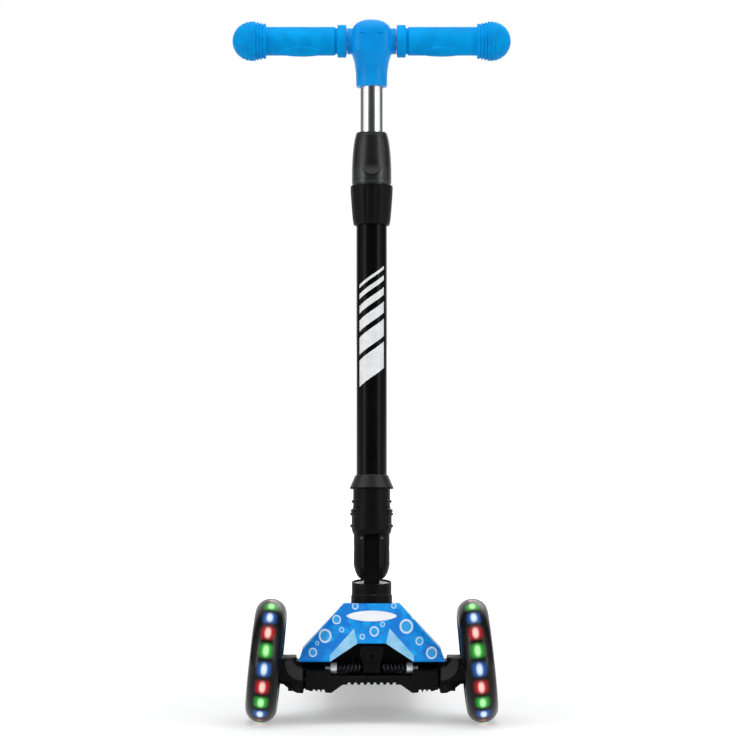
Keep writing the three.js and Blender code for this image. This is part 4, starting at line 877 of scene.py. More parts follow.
def raise_thumb_pad(piece):
    """Swells a lens-shaped pad low on the front of the grip. The bar is along the mesh's Z."""
    for vert in piece.data.vertices:
        x, y, z = vert.co / MM
        radius = math.hypot(x, y)
        along = (z - PAD["middle"]) / PAD["half_length"]
        if abs(along) >= 1 or radius < PAD["from"]:
            continue
        drop = math.degrees(math.atan2(-x, -y)) - PAD["drop"]
        across = abs(math.radians(drop)) * GRIP["radius"]
        room = PAD["half_width"] * (1 - along**2)
        rise = PAD["rise"] * max(0, min(1, (room - across) / PAD["slope"]))
        scale_about_z(vert, (radius + rise) / radius)


def build_grips():
    """Each is made along Z, with the side that becomes down at -X, then laid along the bar."""
    for side, outward in SIDES:
        grip = lathe(f"grip_{side}_rubber", with_even_steps(grip_profile(), 0.9), 160)
        raise_thumb_pad(grip)
        moved(grip, Matrix.Diagonal((outward, 1, 1, 1)) @ LAY_ALONG_BAR)
        face_outward(grip.data)
        smooth(grip, 50)
        dress(grip, "grip_foam", column_frame @ shift(z=BAR_HEIGHT), [f"grip_{side}"])


HEAD = {
    "bottom": 456, "top": 524, "foot": 15.2, "socket": 11.4, "socket_start": 451, "socket_top": 484.3,
    "stub": 13, "stub_half": 24.2, "bore": 9.3,
}
# Radius at each height over the head's bottom.
HEAD_PROFILE = (
    (15.3, 3), (15.5, 12), (16, 18), (17.1, 25), (18.6, 30), (19.6, 34), (20, 39), (20, 46), (19.9, 52),
    (19.3, 56.5), (17.9, 60), (15.2, 62.8), (11.4, 65.1), (6.6, 67), (3, 67.7),
)
# Round at its foot, the head grows squarer between these heights.
HEAD_SQUARE = {"from": 14, "to": 38, "power": 3.6}
# The short mould seams either side of the dome's front.
HEAD_SEAM = {"low": 50.2, "high": 51.1, "inner": 6.5, "outer": 15.4, "rise": 1.2, "front": -24, "back": -18.6}


def square_up(head):
    for vert in head.data.vertices:
        height = vert.co.z / MM - HEAD["bottom"]
        share = min(1, max(0, (height - HEAD_SQUARE["from"]) / (HEAD_SQUARE["to"] - HEAD_SQUARE["from"])))
        power = 2 + (HEAD_SQUARE["power"] - 2) * share * share * (3 - 2 * share)
        radius = math.hypot(vert.co.x, vert.co.y)
        if radius > 0:
            across, along = vert.co.x / radius, vert.co.y / radius
            vert.co.x = radius * math.copysign(abs(across) ** (2 / power), across)
            vert.co.y = radius * math.copysign(abs(along) ** (2 / power), along)


def head_seam(side):
    inner, outer, rise = side * HEAD_SEAM["inner"], side * HEAD_SEAM["outer"], HEAD_SEAM["rise"]
    low, high = (HEAD["bottom"] + HEAD_SEAM[end] for end in ("low", "high"))
    outline = rounded([(inner, low), (outer, low + rise), (outer, high + rise), (inner, high)], 0.3)
    return slab("seam", outline, HEAD_SEAM["front"], HEAD_SEAM["back"], "y")


def build_head():
    profile = [(0, HEAD["bottom"]), (HEAD["foot"], HEAD["bottom"])]
    profile += [(radius, HEAD["bottom"] + height) for radius, height in HEAD_PROFILE]
    head = lathe("t_head_moulding", with_even_steps(profile + [(0, HEAD["top"])], 1.6), 144)
    square_up(head)
    at_bar = shift(z=BAR_HEIGHT)
    stub = bar_across("stub", HEAD["stub"], HEAD["stub_half"], at_bar)
    melt(combine(head, stub, how="UNION"), 0.55, 5)
    combine(head, head_seam(1), head_seam(-1))
    combine(head, bar_along("socket", HEAD["socket"], HEAD["socket_start"], HEAD["socket_top"]),
            bar_across("bore", HEAD["bore"], FAR, at_bar))
    smooth(head, 40)
    dress(head, "soft_blue_plastic", column_frame, ["t_head"])


# Bore, radius, low and high end, and the rounding of the edges.
INNER_TUBE = (9.6, 11.1, 200, 484, 0.5)
CROSSBAR = (7.4, 9, -116, 116, 0.4)
OUTER_TUBE = (13.2, 15, 50, 352, 0.5)
GUIDE_BUSH = (11.4, 15, 352.3, 366, 0.4)


def tube(name, bore, radius, low, high, edge, steps=128):
    """A length of tube along Z."""
    outline = [(bore, low), (radius, low), (radius, high), (bore, high)]
    return smooth(lathe(name, rounded(outline, edge), steps))


def build_tubes():
    dress(tube("inner_tube_chrome", *INNER_TUBE), "bright_tube", column_frame, ["inner_tube"])
    bar = moved(tube("crossbar_steel", *CROSSBAR, steps=72), turn(90, "Y"))
    dress(bar, "crossbar_tube", column_frame @ shift(z=BAR_HEIGHT), ["crossbar"])
    dress(tube("outer_tube_lacquered", *OUTER_TUBE), "black_tube", column_frame, ["outer_tube"])
    dress(tube("guide_bush_nylon", *GUIDE_BUSH, steps=96), "nylon", column_frame, ["guide_bush"])


# White slanted bars up the front of the tube: height of each one's middle, and its own height.
STRIPES = ((180, 26), (207, 17), (227, 11), (243, 7.5), (256, 5), (266, 3.2))
STRIPE = {"radius": 15.04, "thickness": 0.06, "half_degrees": 52, "slant": 9.5, "columns": 40}


def build_stripes():
    for index, (middle, height) in enumerate(STRIPES):
        points, faces = [], []
        for column in range(STRIPE["columns"] + 1):
            share = column / STRIPE["columns"] * 2 - 1
            angle = math.radians(share * STRIPE["half_degrees"] - 90)
            low = middle - height / 2 + share * STRIPE["slant"]
            for radius in (STRIPE["radius"], STRIPE["radius"] + STRIPE["thickness"]):
                for z in (low, low + height):
                    points.append((radius * math.cos(angle), radius * math.sin(angle), z))
        for column in range(STRIPE["columns"]):
            a, b = 4 * column, 4 * column + 4
            faces += [[a, b, b + 1, a + 1], [a + 2, a + 3, b + 3, b + 2], [a, a + 2, b + 2, b],
                      [a + 1, b + 1, b + 3, a + 3]]
        last = 4 * STRIPE["columns"]
        faces += [[0, 1, 3, 2], [last, last + 2, last + 3, last + 1]]
        stripe = smooth(add_mesh(f"tube_stripe_{index}", points, faces))
        dress(stripe, "tube_print", column_frame, body="column")


# Height clamp

CLAMP = {
    "top": 410, "ring_top": 358, "gap": 0.8, "bore": 15.3, "neck": 11.4, "skirt": 17, "skirt_low": 337,
    "bush_top": 366.3, "radius": 19.5, "play": 0.3,
}
CLAMP_SEAM = ((18.9, 362.6), (20, 362.3), (20, 363.3), (18.9, 363.1))
# Share of the shell's radius at each share of its height.
SHELL = (
    (0.985, 0), (1, 0.03), (1, 0.28), (0.985, 0.42), (0.965, 0.56), (0.925, 0.72), (0.87, 0.86), (0.8, 0.97),
    (0.77, 1),
)
# The button's lower end is cut by a cone whose point is this low on the axis.
BUTTON = {
    "half": 9, "low": 365.8, "top": 405, "depth": 5, "travel": 2.5, "proud": 0.9, "gap": 0.45, "cone_low": 330,
}
RING = {"low": 318.2, "radius": 20.8, "foot": 17.7, "flutes": 12, "flute_depth": 0.4, "smooth": 0.4}
# As shares of the ring's height, where the flutes end and over how much they fade, and their half-widths as
# shares of their pitch, low down and how much more at the top.
FLUTE = {"low_fade": 0.12, "high_end": 0.97, "high_fade": 0.1, "narrow": 0.16, "widen": 0.3}
RING_PROFILE = ((0.9, 0.16), (0.94, 0.4), (0.975, 0.64), (1, 0.86), (1, 0.98))


def shell_profile(grow=0.0):
    low = CLAMP["ring_top"] + CLAMP["gap"]
    height = CLAMP["top"] - low
    return [(CLAMP["radius"] * radius + grow, low + height * share) for radius, share in SHELL]


def thumb_outline(gap):
    """The button's U shape seen from the front: round below and square above."""
    half, low = BUTTON["half"] + gap, BUTTON["low"] - gap
    top = BUTTON["top"] + gap
    return [(half, top), (-half, top)] + arc((0, low + half), half, 180, 360, 28)


def build_clamp():
    top_of_ring = CLAMP["ring_top"] + CLAMP["gap"]
    profile = [(CLAMP["bore"], CLAMP["skirt_low"]), (CLAMP["skirt"], CLAMP["skirt_low"]),
               (CLAMP["skirt"], top_of_ring)]
    profile += rounded(shell_profile(), 0.6, 3, closed=False)
    profile += [(CLAMP["neck"], CLAMP["top"]), (CLAMP["neck"], CLAMP["bush_top"]),
                (CLAMP["bore"], CLAMP["bush_top"])]
    body = lathe("clamp_body_shell", profile, 144)
    back = BUTTON["depth"] - CLAMP["radius"]
    combine(body, slab("pocket", thumb_outline(BUTTON["gap"]), -FAR, back + BUTTON["travel"], "y"),
            lathe("seam", CLAMP_SEAM, 144))
    dress(soften(body, 0.35, 3), "clamp_plastic", column_frame, ["clamp_body"])

    button = slab("height_button_thumb", thumb_outline(0), -FAR, back, "y")
    rim = shell_profile(BUTTON["proud"])[2:]
    room = lathe("room", [(0, BUTTON["cone_low"])] + rim + [(0, CLAMP["top"])], 144)
    combine(button, room, how="INTERSECT")
    dress(soften(button, 0.7, 4), "clamp_plastic", column_frame, ["height_button"])


def build_clamp_ring():
    height = CLAMP["ring_top"] - RING["low"]
    inner, shelf = CLAMP["skirt"] + CLAMP["play"], CLAMP["skirt_low"] - CLAMP["play"]
    profile = [(CLAMP["bore"], RING["low"]), (RING["foot"], RING["low"])]
    profile += [(RING["radius"] * radius, RING["low"] + height * share) for radius, share in RING_PROFILE]
    profile += [(inner, CLAMP["ring_top"]), (inner, shelf), (CLAMP["bore"], shelf)]
    ring = lathe("clamp_ring_fluted", with_even_steps(rounded(profile, 0.8, 3), 1.4), 240)
    pitch = 360 / RING["flutes"]
    for vert in ring.data.vertices:
        radius = math.hypot(vert.co.x, vert.co.y) / MM
        if radius < RING["foot"] - RING["smooth"]:
            continue
        angle = math.degrees(math.atan2(vert.co.y, vert.co.x))
        off = abs((angle % pitch) - pitch / 2) / (pitch / 2)
        share = (vert.co.z / MM - RING["low"]) / height
        ends = min(1, max(0, share) / FLUTE["low_fade"], max(0, FLUTE["high_end"] - share) / FLUTE["high_fade"])
        half = FLUTE["narrow"] + FLUTE["widen"] * max(0, share)
        groove = max(0, 1 - (off / half) ** 2) * ends
        scale_about_z(vert, 1 - RING["flute_depth"] * groove / radius)
    dress(smooth(ring), "black_plastic", column_frame, ["clamp_ring"])


# Fold joint at the foot of the column

SLEEVE = {
    "bore": 15.5, "low": 13.35, "belly": 19.7, "waist": 18.2, "waist_height": 38, "foot_rise": 4.4,
    "belly_end": 4, "waist_start": 3, "flange": 58, "flange_radius": 21.9, "flange_edge": (0.6, 1.6),
    "crown": 16.2, "top": 71.4, "cone_from": 1.2,
}
SLEEVE_RIBS = {
    "heights": (21.5, 33.2, 36.6, 45.5), "rise": 1.8, "half": 1.9, "power": 1.6, "from": 17.7, "degrees": 46,
    "fade_degrees": 9,
}


def sleeve_profile():
    s = SLEEVE
    inset, rise = s["flange_edge"]
    return rounded([
        (s["bore"], s["low"]), (s["waist"], s["low"]), (s["belly"], s["low"] + s["foot_rise"]),
        (s["belly"], s["waist_height"] - s["belly_end"]), (s["waist"], s["waist_height"] + s["waist_start"]),
        (s["waist"], s["flange"] - inset), (s["flange_radius"], s["flange"]),
        (s["flange_radius"] - inset, s["flange"] + rise), (s["crown"], s["top"]), (s["bore"], s["top"]),
    ], 0.8, 4)


def raise_finger_ribs(sleeve):
    """Swells ribs on the sleeve's two sides, where it is held to pull it up."""
    ribs = SLEEVE_RIBS
    for vert in sleeve.data.vertices:
        x, y, z = vert.co / MM
        radius = math.hypot(x, y)
        if radius < ribs["from"]:
            continue
        side = math.degrees(math.atan2(abs(y), abs(x)))
        fade = max(0, min(1, (ribs["degrees"] - side) / ribs["fade_degrees"]))
        rise = 0
        for height in ribs["heights"]:
            near = abs(z - height) / ribs["half"]
            if near < 1:
                rise = ribs["rise"] * (1 - near ** ribs["power"]) * fade
        scale_about_z(vert, (radius + rise) / radius)


def build_sleeve():
    sleeve = lathe("lock_sleeve_moulding", with_even_steps(sleeve_profile(), 0.5), 180)
    raise_finger_ribs(sleeve)
    for finish in ("black_plastic", "clamp_plastic"):
        sleeve.data.materials.append(finishes[finish])
    for face in sleeve.data.polygons:
        face.material_index = int(face.center.z > (SLEEVE["flange"] + SLEEVE["cone_from"]) * MM)
    dress(smooth(sleeve), "black_plastic", column_frame, ["lock_sleeve"])
    dress(copy_of("lock_plug", 0.5), "pivot_cap", scooter_frame, ["lock_plug"])


FORK = {
    "radius": 17.7, "shoulder": 13.2, "neck": 14.7, "neck_top": 49.7, "plug": 12.9, "top": 84,
    "slot_half": 7.6, "slot_top": 47, "length": 33, "pin_hole": 4.3, "pin": 4, "pin_half": 17.7,
}
# Share of the cheeks' radius at each share of the bullet end's length.
BULLET = (
    (0.12, 1), (0.2, 0.985), (0.28, 0.966), (0.39, 0.955), (0.5, 0.94), (0.58, 0.928), (0.64, 0.91),
    (0.72, 0.875), (0.78, 0.835), (0.85, 0.775), (0.9, 0.71), (0.95, 0.62), (1, 0.5),
)
# A shallow groove up each cheek's front, as (across, up).
CHEEK_GROOVE = ((12.6, -24), (13.5, -24), (13.9, 4), (13.0, 4))
GROOVE_FRONT, GROOVE_BACK = -22, -10.4
CHEEK_SCREW = {"across": 9.7, "height": 9.3, "radius": 1.7, "shank": 0.6, "sunk": 0.4}
PLATE = {"inner": 7.505, "outer": 9.4, "half": 13.6, "low": -19, "high": 13.4, "end": 12.4}


def pin_hole():
    return bar_across("pin room", FORK["pin_hole"], FAR)


def cheek_groove(side):
    outline = rounded(mirrored(CHEEK_GROOVE, side), 0.3)
    return slab("groove", outline, GROOVE_FRONT, GROOVE_BACK, "y")


def friction_plate(name, side):
    outline = [(-PLATE["half"], PLATE["high"])] + arc((0, PLATE["low"]), PLATE["end"], 180, 360, 24)
    outline += [(PLATE["half"], PLATE["high"])]
    return smooth(combine(slab_beside(name, outline, side, PLATE["inner"], PLATE["outer"]), pin_hole()))


def cheek_screw(name, side):
    """A small domed screw set square into the round of the cheek."""
    radius, across, shank = CHEEK_SCREW["radius"], CHEEK_SCREW["across"], CHEEK_SCREW["shank"]
    depth = math.sqrt(FORK["radius"] ** 2 - across**2)
    screw = lathe(name, [(0, -shank), (radius, -shank)] + arc((0, 0), radius, 0, 90, 8), 32)
    lean = math.degrees(math.atan2(across, depth))
    set_in = shift(side * across, -depth + CHEEK_SCREW["sunk"], CHEEK_SCREW["height"])
    return smooth(moved(screw, set_in @ turn(side * lean, "Z") @ turn(90, "X")))


def build_fork():
    f = FORK
    profile = [(0, -f["length"])] + [(f["radius"] * r, -f["length"] * h) for r, h in BULLET]
    profile += rounded([(f["radius"], 0), (f["radius"], f["shoulder"]), (f["neck"], f["shoulder"]),
                        (f["neck"], f["neck_top"]), (f["plug"], f["neck_top"]), (f["plug"], f["top"]),
                        (0, f["top"])], 0.5, 3, closed=False)
    fork = lathe("column_fork_cheeks", profile, 128)
    slot = block("slot", (-f["slot_half"], -FAR, -FAR), (f["slot_half"], FAR, f["slot_top"]))
    combine(fork, slot, pin_hole(), cheek_groove(1), cheek_groove(-1))
    dress(soften(fork, 0.55, 3, 40), "black_plastic", column_frame, ["column_fork"])
    for name, side in SIDES:
        dress(friction_plate(f"friction_plate_{name}", side), "black_plastic", column_frame, body="column")
    for name, side in SIDES:
        dress(cheek_screw(f"cheek_screw_{name}", side), "dim_screw", column_frame, body="column")
    half = f["pin_half"]
    pin = rounded([(0, -half), (f["pin"], -half), (f["pin"], half), (0, half)], 0.7, 3, closed=False)
    pin = moved(lathe("hinge_pin_steel", pin, 64), turn(90, "Y"))
    dress(smooth(pin), "steel_fixings", column_frame, ["hinge_pin"])


# The tongue's flat sides, and how far out they are shown, just inside the plates.
TONGUE = {"half": 7, "seen_half": 7.5, "near": 0.1}
COLLAR = {
    "radius": 20.2, "wall": 2.6, "top": -33, "bottom": -69, "cut_degrees": 9, "step": -46.4, "step_rise": 0.5,
    "step_in": 0.7, "floor": -34.6, "floor_thickness": 1.4, "floor_over": 0.5,
}


def build_collar():
    c = COLLAR
    inner, upper = c["radius"] - c["wall"], c["radius"] - c["step_in"]
    collar = lathe("socket_collar_ring", [
        (inner, c["bottom"]), (c["radius"], c["bottom"]), (c["radius"], c["step"]),
        (upper, c["step"] + c["step_rise"]), (upper, 0), (inner, 0)], 144)
    above = moved(block("above", (-FAR, -FAR, 0), (FAR, FAR, FAR)),
                  shift(z=c["top"]) @ turn(c["cut_degrees"], "X"))
    soften(combine(collar, above), 0.6, 3)
    dress(collar, "black_plastic", column_frame, ["socket_collar"])
    # The floor's pale grey is a painted highlight: it stands in for the lit back wall seen inside the collar.
    floor = slab("socket_floor_painted_light", arc((0, 0), inner + c["floor_over"], 0, 355, 71),
                 c["floor"] - c["floor_thickness"], c["floor"])
    lean = math.tan(math.radians(c["cut_degrees"]))
    for vert in floor.data.vertices:
        vert.co.z += vert.co.y * lean
    dress(smooth(floor), "collar_floor_painted_light", column_frame, body="deck")
    tongue = copy_of("hinge_tongue", 0.3)
    for vert in tongue.data.vertices:
        if abs(vert.co.x) < (TONGUE["half"] + TONGUE["near"]) * MM:
            vert.co.x *= TONGUE["seen_half"] / TONGUE["half"]
    dress(tongue, "black_plastic", scooter_frame, ["hinge_tongue"])


# Nose cover

# Rows of the cover's outside: place, ridge height and half-width, tip half-width and height, hem height.
COVER_ROWS = (
    (-234, 62.3, 57, 70.6, 61.6, 61), (-219, 79.2, 47, 67.2, 70.6, 61), (-189, 113, 27, 67.2, 70.6, 61),
    (-144, 109.6, 27.5, 60.9, 69.8, 58), (-84, 61.9, 44, 51.8, 61.2, 56.4),
)
COVER = {
    "wall": 3.2, "arch_half": 13.6, "arch_top": 77, "arch_front": -260, "arch_back": -200, "foot_half": 40,
    "below": -5, "neck": 20.9, "voxel": 0.62,
}
# The openings for the knuckles, as (along, up), which start this far from the middle.
SIDE_ARCH = ((-229.4, 0), (-229.4, 61.8), (-224.4, 64.5), (-219.5, 69), (-191, 69), (-191, 0))
SIDE_ARCH_START = 62.5
LABEL = {"half": 24.5, "half_height": 6.4, "thickness": 0.7, "middle": 101.4, "point": 1.3, "steps": 36}


def cover_loft(name, inset):
    """The cover's outside, or its hollow when inset, which runs on below and behind. All splits bulge out."""
    points, faces = [], []
    last = len(COVER_ROWS) - 1
    for index, (y, ridge, ridge_half, tip_half, tip, hem) in enumerate(COVER_ROWS):
        y += inset if index == 0 else (2 * inset if index == last else 0)
        hem = COVER["below"] if inset else hem
        right = [(tip_half - inset, hem), (tip_half - inset, tip - inset / 2),
                 (ridge_half - inset / 2, ridge - inset)]
        ring = right + mirrored(reversed(right), -1)
        points += [(x, y, z) for x, z in ring]
    count = 6
    for row in range(last):
        for i in range(count):
            a, b = row * count + i, row * count + (i + 1) % count
            if (i > 2) != (row == last - 1):
                faces += [[a, b, a + count], [b, b + count, a + count]]
            else:
                faces += [[a, b, b + count], [a, b + count, a + count]]
    faces += [list(range(count)), list(range(last * count, last * count + count))]
    return add_mesh(name, points, faces)


def front_point(x, z, outward):
    """A point off the cover's sloping front, which is one plane, at a place across and up."""
    low, high = Vector((0, *COVER_ROWS[0][:2])), Vector((0, *COVER_ROWS[2][:2]))
    along = (high - low).normalized()
    out = Vector((1, 0, 0)).cross(along)
    return low + along * (z - low.z) / along.z + Vector((x, 0, 0)) + out * outward


def facet_cutter(side):
    """The room over the pale plane beside the arch, which sinks toward the arch."""
    across, up = FACET["foot"][0] - FACET["arch_top"][0], FACET["arch_top"][1] - COVER_ROWS[0][5]
    over = FACET["over"] / math.hypot(across, up)
    apex, foot = FACET["apex"], FACET["foot"]
    beyond = (COVER["arch_half"] - up * over, COVER["arch_top"] - across * over)
    beyond_foot = (COVER["foot_half"] - up * over, COVER_ROWS[0][5] - across * over)
    ring = [(*apex, 0), (*foot, 0), (*beyond_foot, -FACET["depth"]), (*beyond, -FACET["depth"])]
    points = [front_point(side * x, z, sunk) for x, z, sunk in ring]
    points += [front_point(side * x, z, FACET["clear"]) for x, z, sunk in ring]
    faces = [[0, 1, 2], [0, 2, 3], [4, 5, 6], [4, 6, 7]]
    faces += [[i, (i + 1) % 4, (i + 1) % 4 + 4, i + 4] for i in range(4)]
    return add_mesh("facet room", points, faces)


def build_cover():
    """One soft-edged shell: the arch in front, the planes beside it, room for the knuckles and the collar."""
    cover = cover_loft("nose_cover_shell", 0)
    half, foot, below = COVER["arch_half"], COVER["foot_half"], COVER["below"]
    hem = COVER_ROWS[0][5]
    arch = slab("arch", [(foot, below), (foot, hem), (half, COVER["arch_top"]), (-half, COVER["arch_top"]),
                         (-foot, hem), (-foot, below)], COVER["arch_front"], COVER["arch_back"], "y")
    side_arches = [slab_beside("side arch", SIDE_ARCH, side, SIDE_ARCH_START, FAR) for side in (1, -1)]
    neck = moved(bar_along("neck", COVER["neck"], -FAR, 0), column_frame)
    combine(cover, cover_loft("hollow", COVER["wall"]), facet_cutter(1), facet_cutter(-1), arch, *side_arches,
            neck)
    dress(melt(cover, COVER["voxel"], 4), "printed_cover", scooter_frame, ["nose_cover"])


# Splash guards behind the axle: right half seen from the front, as (across, up), and their places along.
GUARD = ((18.6, 48), (66, 48), (66, 62), (61.5, 66), (61.5, 76), (31, 104), (18.6, 104))
GUARD_FRONT, GUARD_BACK = -192, -189.6


def build_guards():
    for name, side in SIDES:
        outline = rounded(mirrored(GUARD, side), 2)
        guard = soften(slab(f"splash_guard_{name}", outline, GUARD_FRONT, GUARD_BACK, "y"), 0.5, 2)
        dress(guard, "black_plastic", scooter_frame, body="deck")


def cover_slope(height):
    """The frame on the cover's sloping front at a height: Z stands off the surface."""
    spot = front_point(0, height, 0)
    return axis_frame(spot * MM, front_point(0, height, 1) - spot)


def build_label():
    """A bare white lens of film on the slope above the arch."""
    turns = [math.pi * i / LABEL["steps"] for i in range(LABEL["steps"] + 1)]
    upper = [(LABEL["half"] * math.cos(t), LABEL["half_height"] * math.sin(t) ** LABEL["point"]) for t in turns]
    outline = upper + [(x, -y) for x, y in reversed(upper[1:-1])]
    label = soften(slab("cover_label_film", outline, 0, LABEL["thickness"]), 0.25, 2)
    dress(label, "cover_label", cover_slope(LABEL["middle"]), body="deck")


# Front axle

# Shares of a bolt head: its straight rim's and its socket floor's heights, and its socket's radius.
BOLT_HEAD = {"rim": 0.35, "floor": 0.3, "socket": 0.5}
# Head radius, head height, shank radius and shank length.
AXLE_BOLT = (7.4, 3.2, 3.7, 38)
KINGPIN = (6, 2.6, 3.6, 24)
ROD_BOLT = (4.6, 2.4, 2.6, 13)
PIVOT_BOLT = (6.4, 3, 4, 37)
REAR_AXLE_BOLT = (7.4, 3.2, 3.7, 64.2)
# Each head's seat, out along its joint's axis.
SEATS = {"axle": 12.3, "kingpin": 10.9, "pivot": 18.1, "rear": 30.3}


def head_of_bolt(name, radius, height, shank, length):
    """A button head with a hexagon socket, seated at Z 0, and its shank below."""
    rim = BOLT_HEAD["rim"]
    profile = [(0, -length), (shank, -length), (shank, 0), (radius, 0), (radius, height * rim)]
    profile += [(radius * math.cos(t), height * (rim + (1 - rim) * math.sin(t))) for t in
                (math.radians(10 * i) for i in range(1, 9))] + [(0, height)]
    bolt = lathe(name, profile, 64)
    hexagon = arc((0, 0), radius * BOLT_HEAD["socket"], 0, 300, 5)
    combine(bolt, slab("socket", hexagon, height * BOLT_HEAD["floor"], height * 3))
    return soften(bolt, 0.2, 2, 40)


# Horns of the beam that close in on the knuckles from the front.
HORN = {"start": 58, "end": 64, "front": -226, "back": -212, "low": 33, "high": 52, "room": 13}
AXLE_Y = -210


def build_beam():
    beam = copy_of("axle_beam", 0.8, 2, 32)
    for side, outward in reversed(SIDES):
        horn = block_beside("horn", outward, (HORN["start"], HORN["front"], HORN["low"]),
                            (HORN["end"], HORN["back"], HORN["high"]))
        room = moved(bar_along("room", HORN["room"], -FAR, FAR), kingpin_frames[side])
        combine(beam, combine(horn, room), how="UNION")
    return melt(beam, 0.6, 4)


# The knuckle's crown stops low, a web outside the beam's eye closes its fork, and a cheek covers it in front.
KNUCKLE = {
    "crown": 63.5, "web_start": 84.5, "web_end": 88.5, "web_half": 10, "web_low": 38, "web_high": 55,
    "front": -224.6, "back": -219.6, "panel_rise": 0.7, "panel_root": 2,
}
# Outlines of the right cheek and of its panel, as (across, up).
CHEEK = ((65.6, 29.5), (72.2, 30), (79, 33.5), (85.4, 38.6), (89.6, 42.5), (89.6, 61), (84, 63.2), (76.4, 62.8),
         (74.6, 60.4), (71.6, 55.6), (65.6, 55))
CHEEK_PANEL = ((66.6, 54), (71.4, 54.6), (75.4, 59.6), (77.2, 61.4), (83.6, 61.8), (83, 53.6), (80.4, 48.2),
               (75.2, 43.9), (66.6, 41.4))


def build_knuckle(side, outward):
    knuckle = copy_of(f"knuckle_{side}", 2.2, 3, 32)
    above = block("above", (-FAR, AXLE_Y - FAR, KNUCKLE["crown"]), (FAR, AXLE_Y + FAR, FAR))
    web = block_beside("web", outward, (KNUCKLE["web_start"], AXLE_Y - KNUCKLE["web_half"], KNUCKLE["web_low"]),
                       (KNUCKLE["web_end"], AXLE_Y + KNUCKLE["web_half"], KNUCKLE["web_high"]))
    cheek = slab("cheek", rounded(mirrored(CHEEK, outward), 1.6), KNUCKLE["front"], KNUCKLE["back"], "y")
    combine(combine(knuckle, above), web, cheek, how="UNION")
    return melt(knuckle, 0.6, 5)


def build_cheek_panel(side, outward):
    """The raised grained panel on the front of a knuckle. Its lighter grey is a painted highlight of the lit
    front face.
    """
    outline = rounded(mirrored(CHEEK_PANEL, outward), 1.8)
    panel = slab(f"knuckle_panel_{side}", outline, KNUCKLE["front"] - KNUCKLE["panel_rise"],
                 KNUCKLE["front"] + KNUCKLE["panel_root"], "y")
    return soften(panel, 0.5, 3)


def build_axle():
    dress(build_beam(), "black_moulding", scooter_frame, ["axle_beam"])
    dress(copy_of("steering_bracket", 0.9), "black_moulding", scooter_frame, ["steering_bracket"])
    dress(copy_of("tie_rod", 0.5), "steel_fixings", scooter_frame, ["tie_rod"])
    for side, outward in reversed(SIDES):
        dress(build_knuckle(side, outward), "black_moulding", scooter_frame, [f"knuckle_{side}"])
        dress(build_cheek_panel(side, outward), "knuckle_panel_painted_highlight", scooter_frame,
              body=nodes[f"knuckle_{side}"]["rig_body"])


# The spring's cup, turned about its own axis: radius and height, seated this far from the middle.
CUP = ((0, -5), (2, -5), (2, 0), (5.5, 0), (5.5, 6), (4.95, 6), (4.95, 1.2), (0, 1.2))
CUP_SEAT = 39.7


def build_fixings():
    """The bolts whose heads show."""
    for side, outward in SIDES:
        bolt = head_of_bolt(f"axle_bolt_{side}_head", *AXLE_BOLT)
        seat = joint_frame(f"spin_{side}") @ shift(z=SEATS["axle"])
        dress(bolt, "steel_fixings", seat, [f"axle_bolt_{side}"])
        middle = sum(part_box(f"spring_bolt_{side}"), Vector()) / 2
        foot = Vector((outward * CUP_SEAT * MM, middle.y, middle.z))
        cup = soften(lathe(f"spring_bolt_{side}_cup", CUP, 72), 0.25, 2)
        dress(cup, "satin_cup", axis_frame(foot, (-outward, 0, 0), (0, 0, 1)), [f"spring_bolt_{side}"])
        pin = head_of_bolt(f"kingpin_{side}_head", *KINGPIN)
        upside_down = kingpin_frames[side] @ turn(180, "X") @ shift(z=SEATS["kingpin"])
        dress(pin, "steel_fixings", upside_down, [f"kingpin_{side}"])
        low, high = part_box(f"tie_rod_bolt_{side}")
        centre = (low + high) / 2
        top = Matrix.Translation((centre.x, centre.y, high.z - ROD_BOLT[1] * MM))
        bolt = head_of_bolt(f"tie_rod_bolt_{side}_head", *ROD_BOLT)
        dress(bolt, "steel_fixings", top, [f"tie_rod_bolt_{side}"])
    pivot = head_of_bolt("pivot_bolt_head", *PIVOT_BOLT)
    dress(pivot, "pivot_cap", lean_frame @ turn(180, "X") @ shift(z=SEATS["pivot"]), ["pivot_bolt"])


# Steps round each turn of a spring.
TURN_STEPS = 28


def spring(name, coil_radius, wire, curls, length):
    """A compression spring along X from 0, as one round wire."""
    curve = bpy.data.curves.new(name, "CURVE")
    curve.dimensions = "3D"
    curve.bevel_depth = wire * MM
    curve.bevel_resolution = 6
    curve.use_fill_caps = True
    count = round(curls * TURN_STEPS)
    line = curve.splines.new("POLY")
    line.points.add(count)
    for i in range(count + 1):
        angle = i / TURN_STEPS * math.tau
        share = i / count
        line.points[i].co = (length * share * MM, coil_radius * math.cos(angle) * MM,
                             coil_radius * math.sin(angle) * MM, 1)
    made = add_piece(name, curve)
    settled = bpy.data.meshes.new_from_object(made.evaluated_get(bpy.context.evaluated_depsgraph_get()))
    bpy.data.objects.remove(made)
    return smooth(add_piece(name, settled), 60)


# Radius to the wire's middle, wire radius and number of turns.
CENTRING_SPRING = (4, 0.8, 7)
BRAKE_SPRING = (4.5, 0.7, 4)
# The centring springs stop this much short of the bracket, which leans toward them.
SPRING_ROOM = 1.3


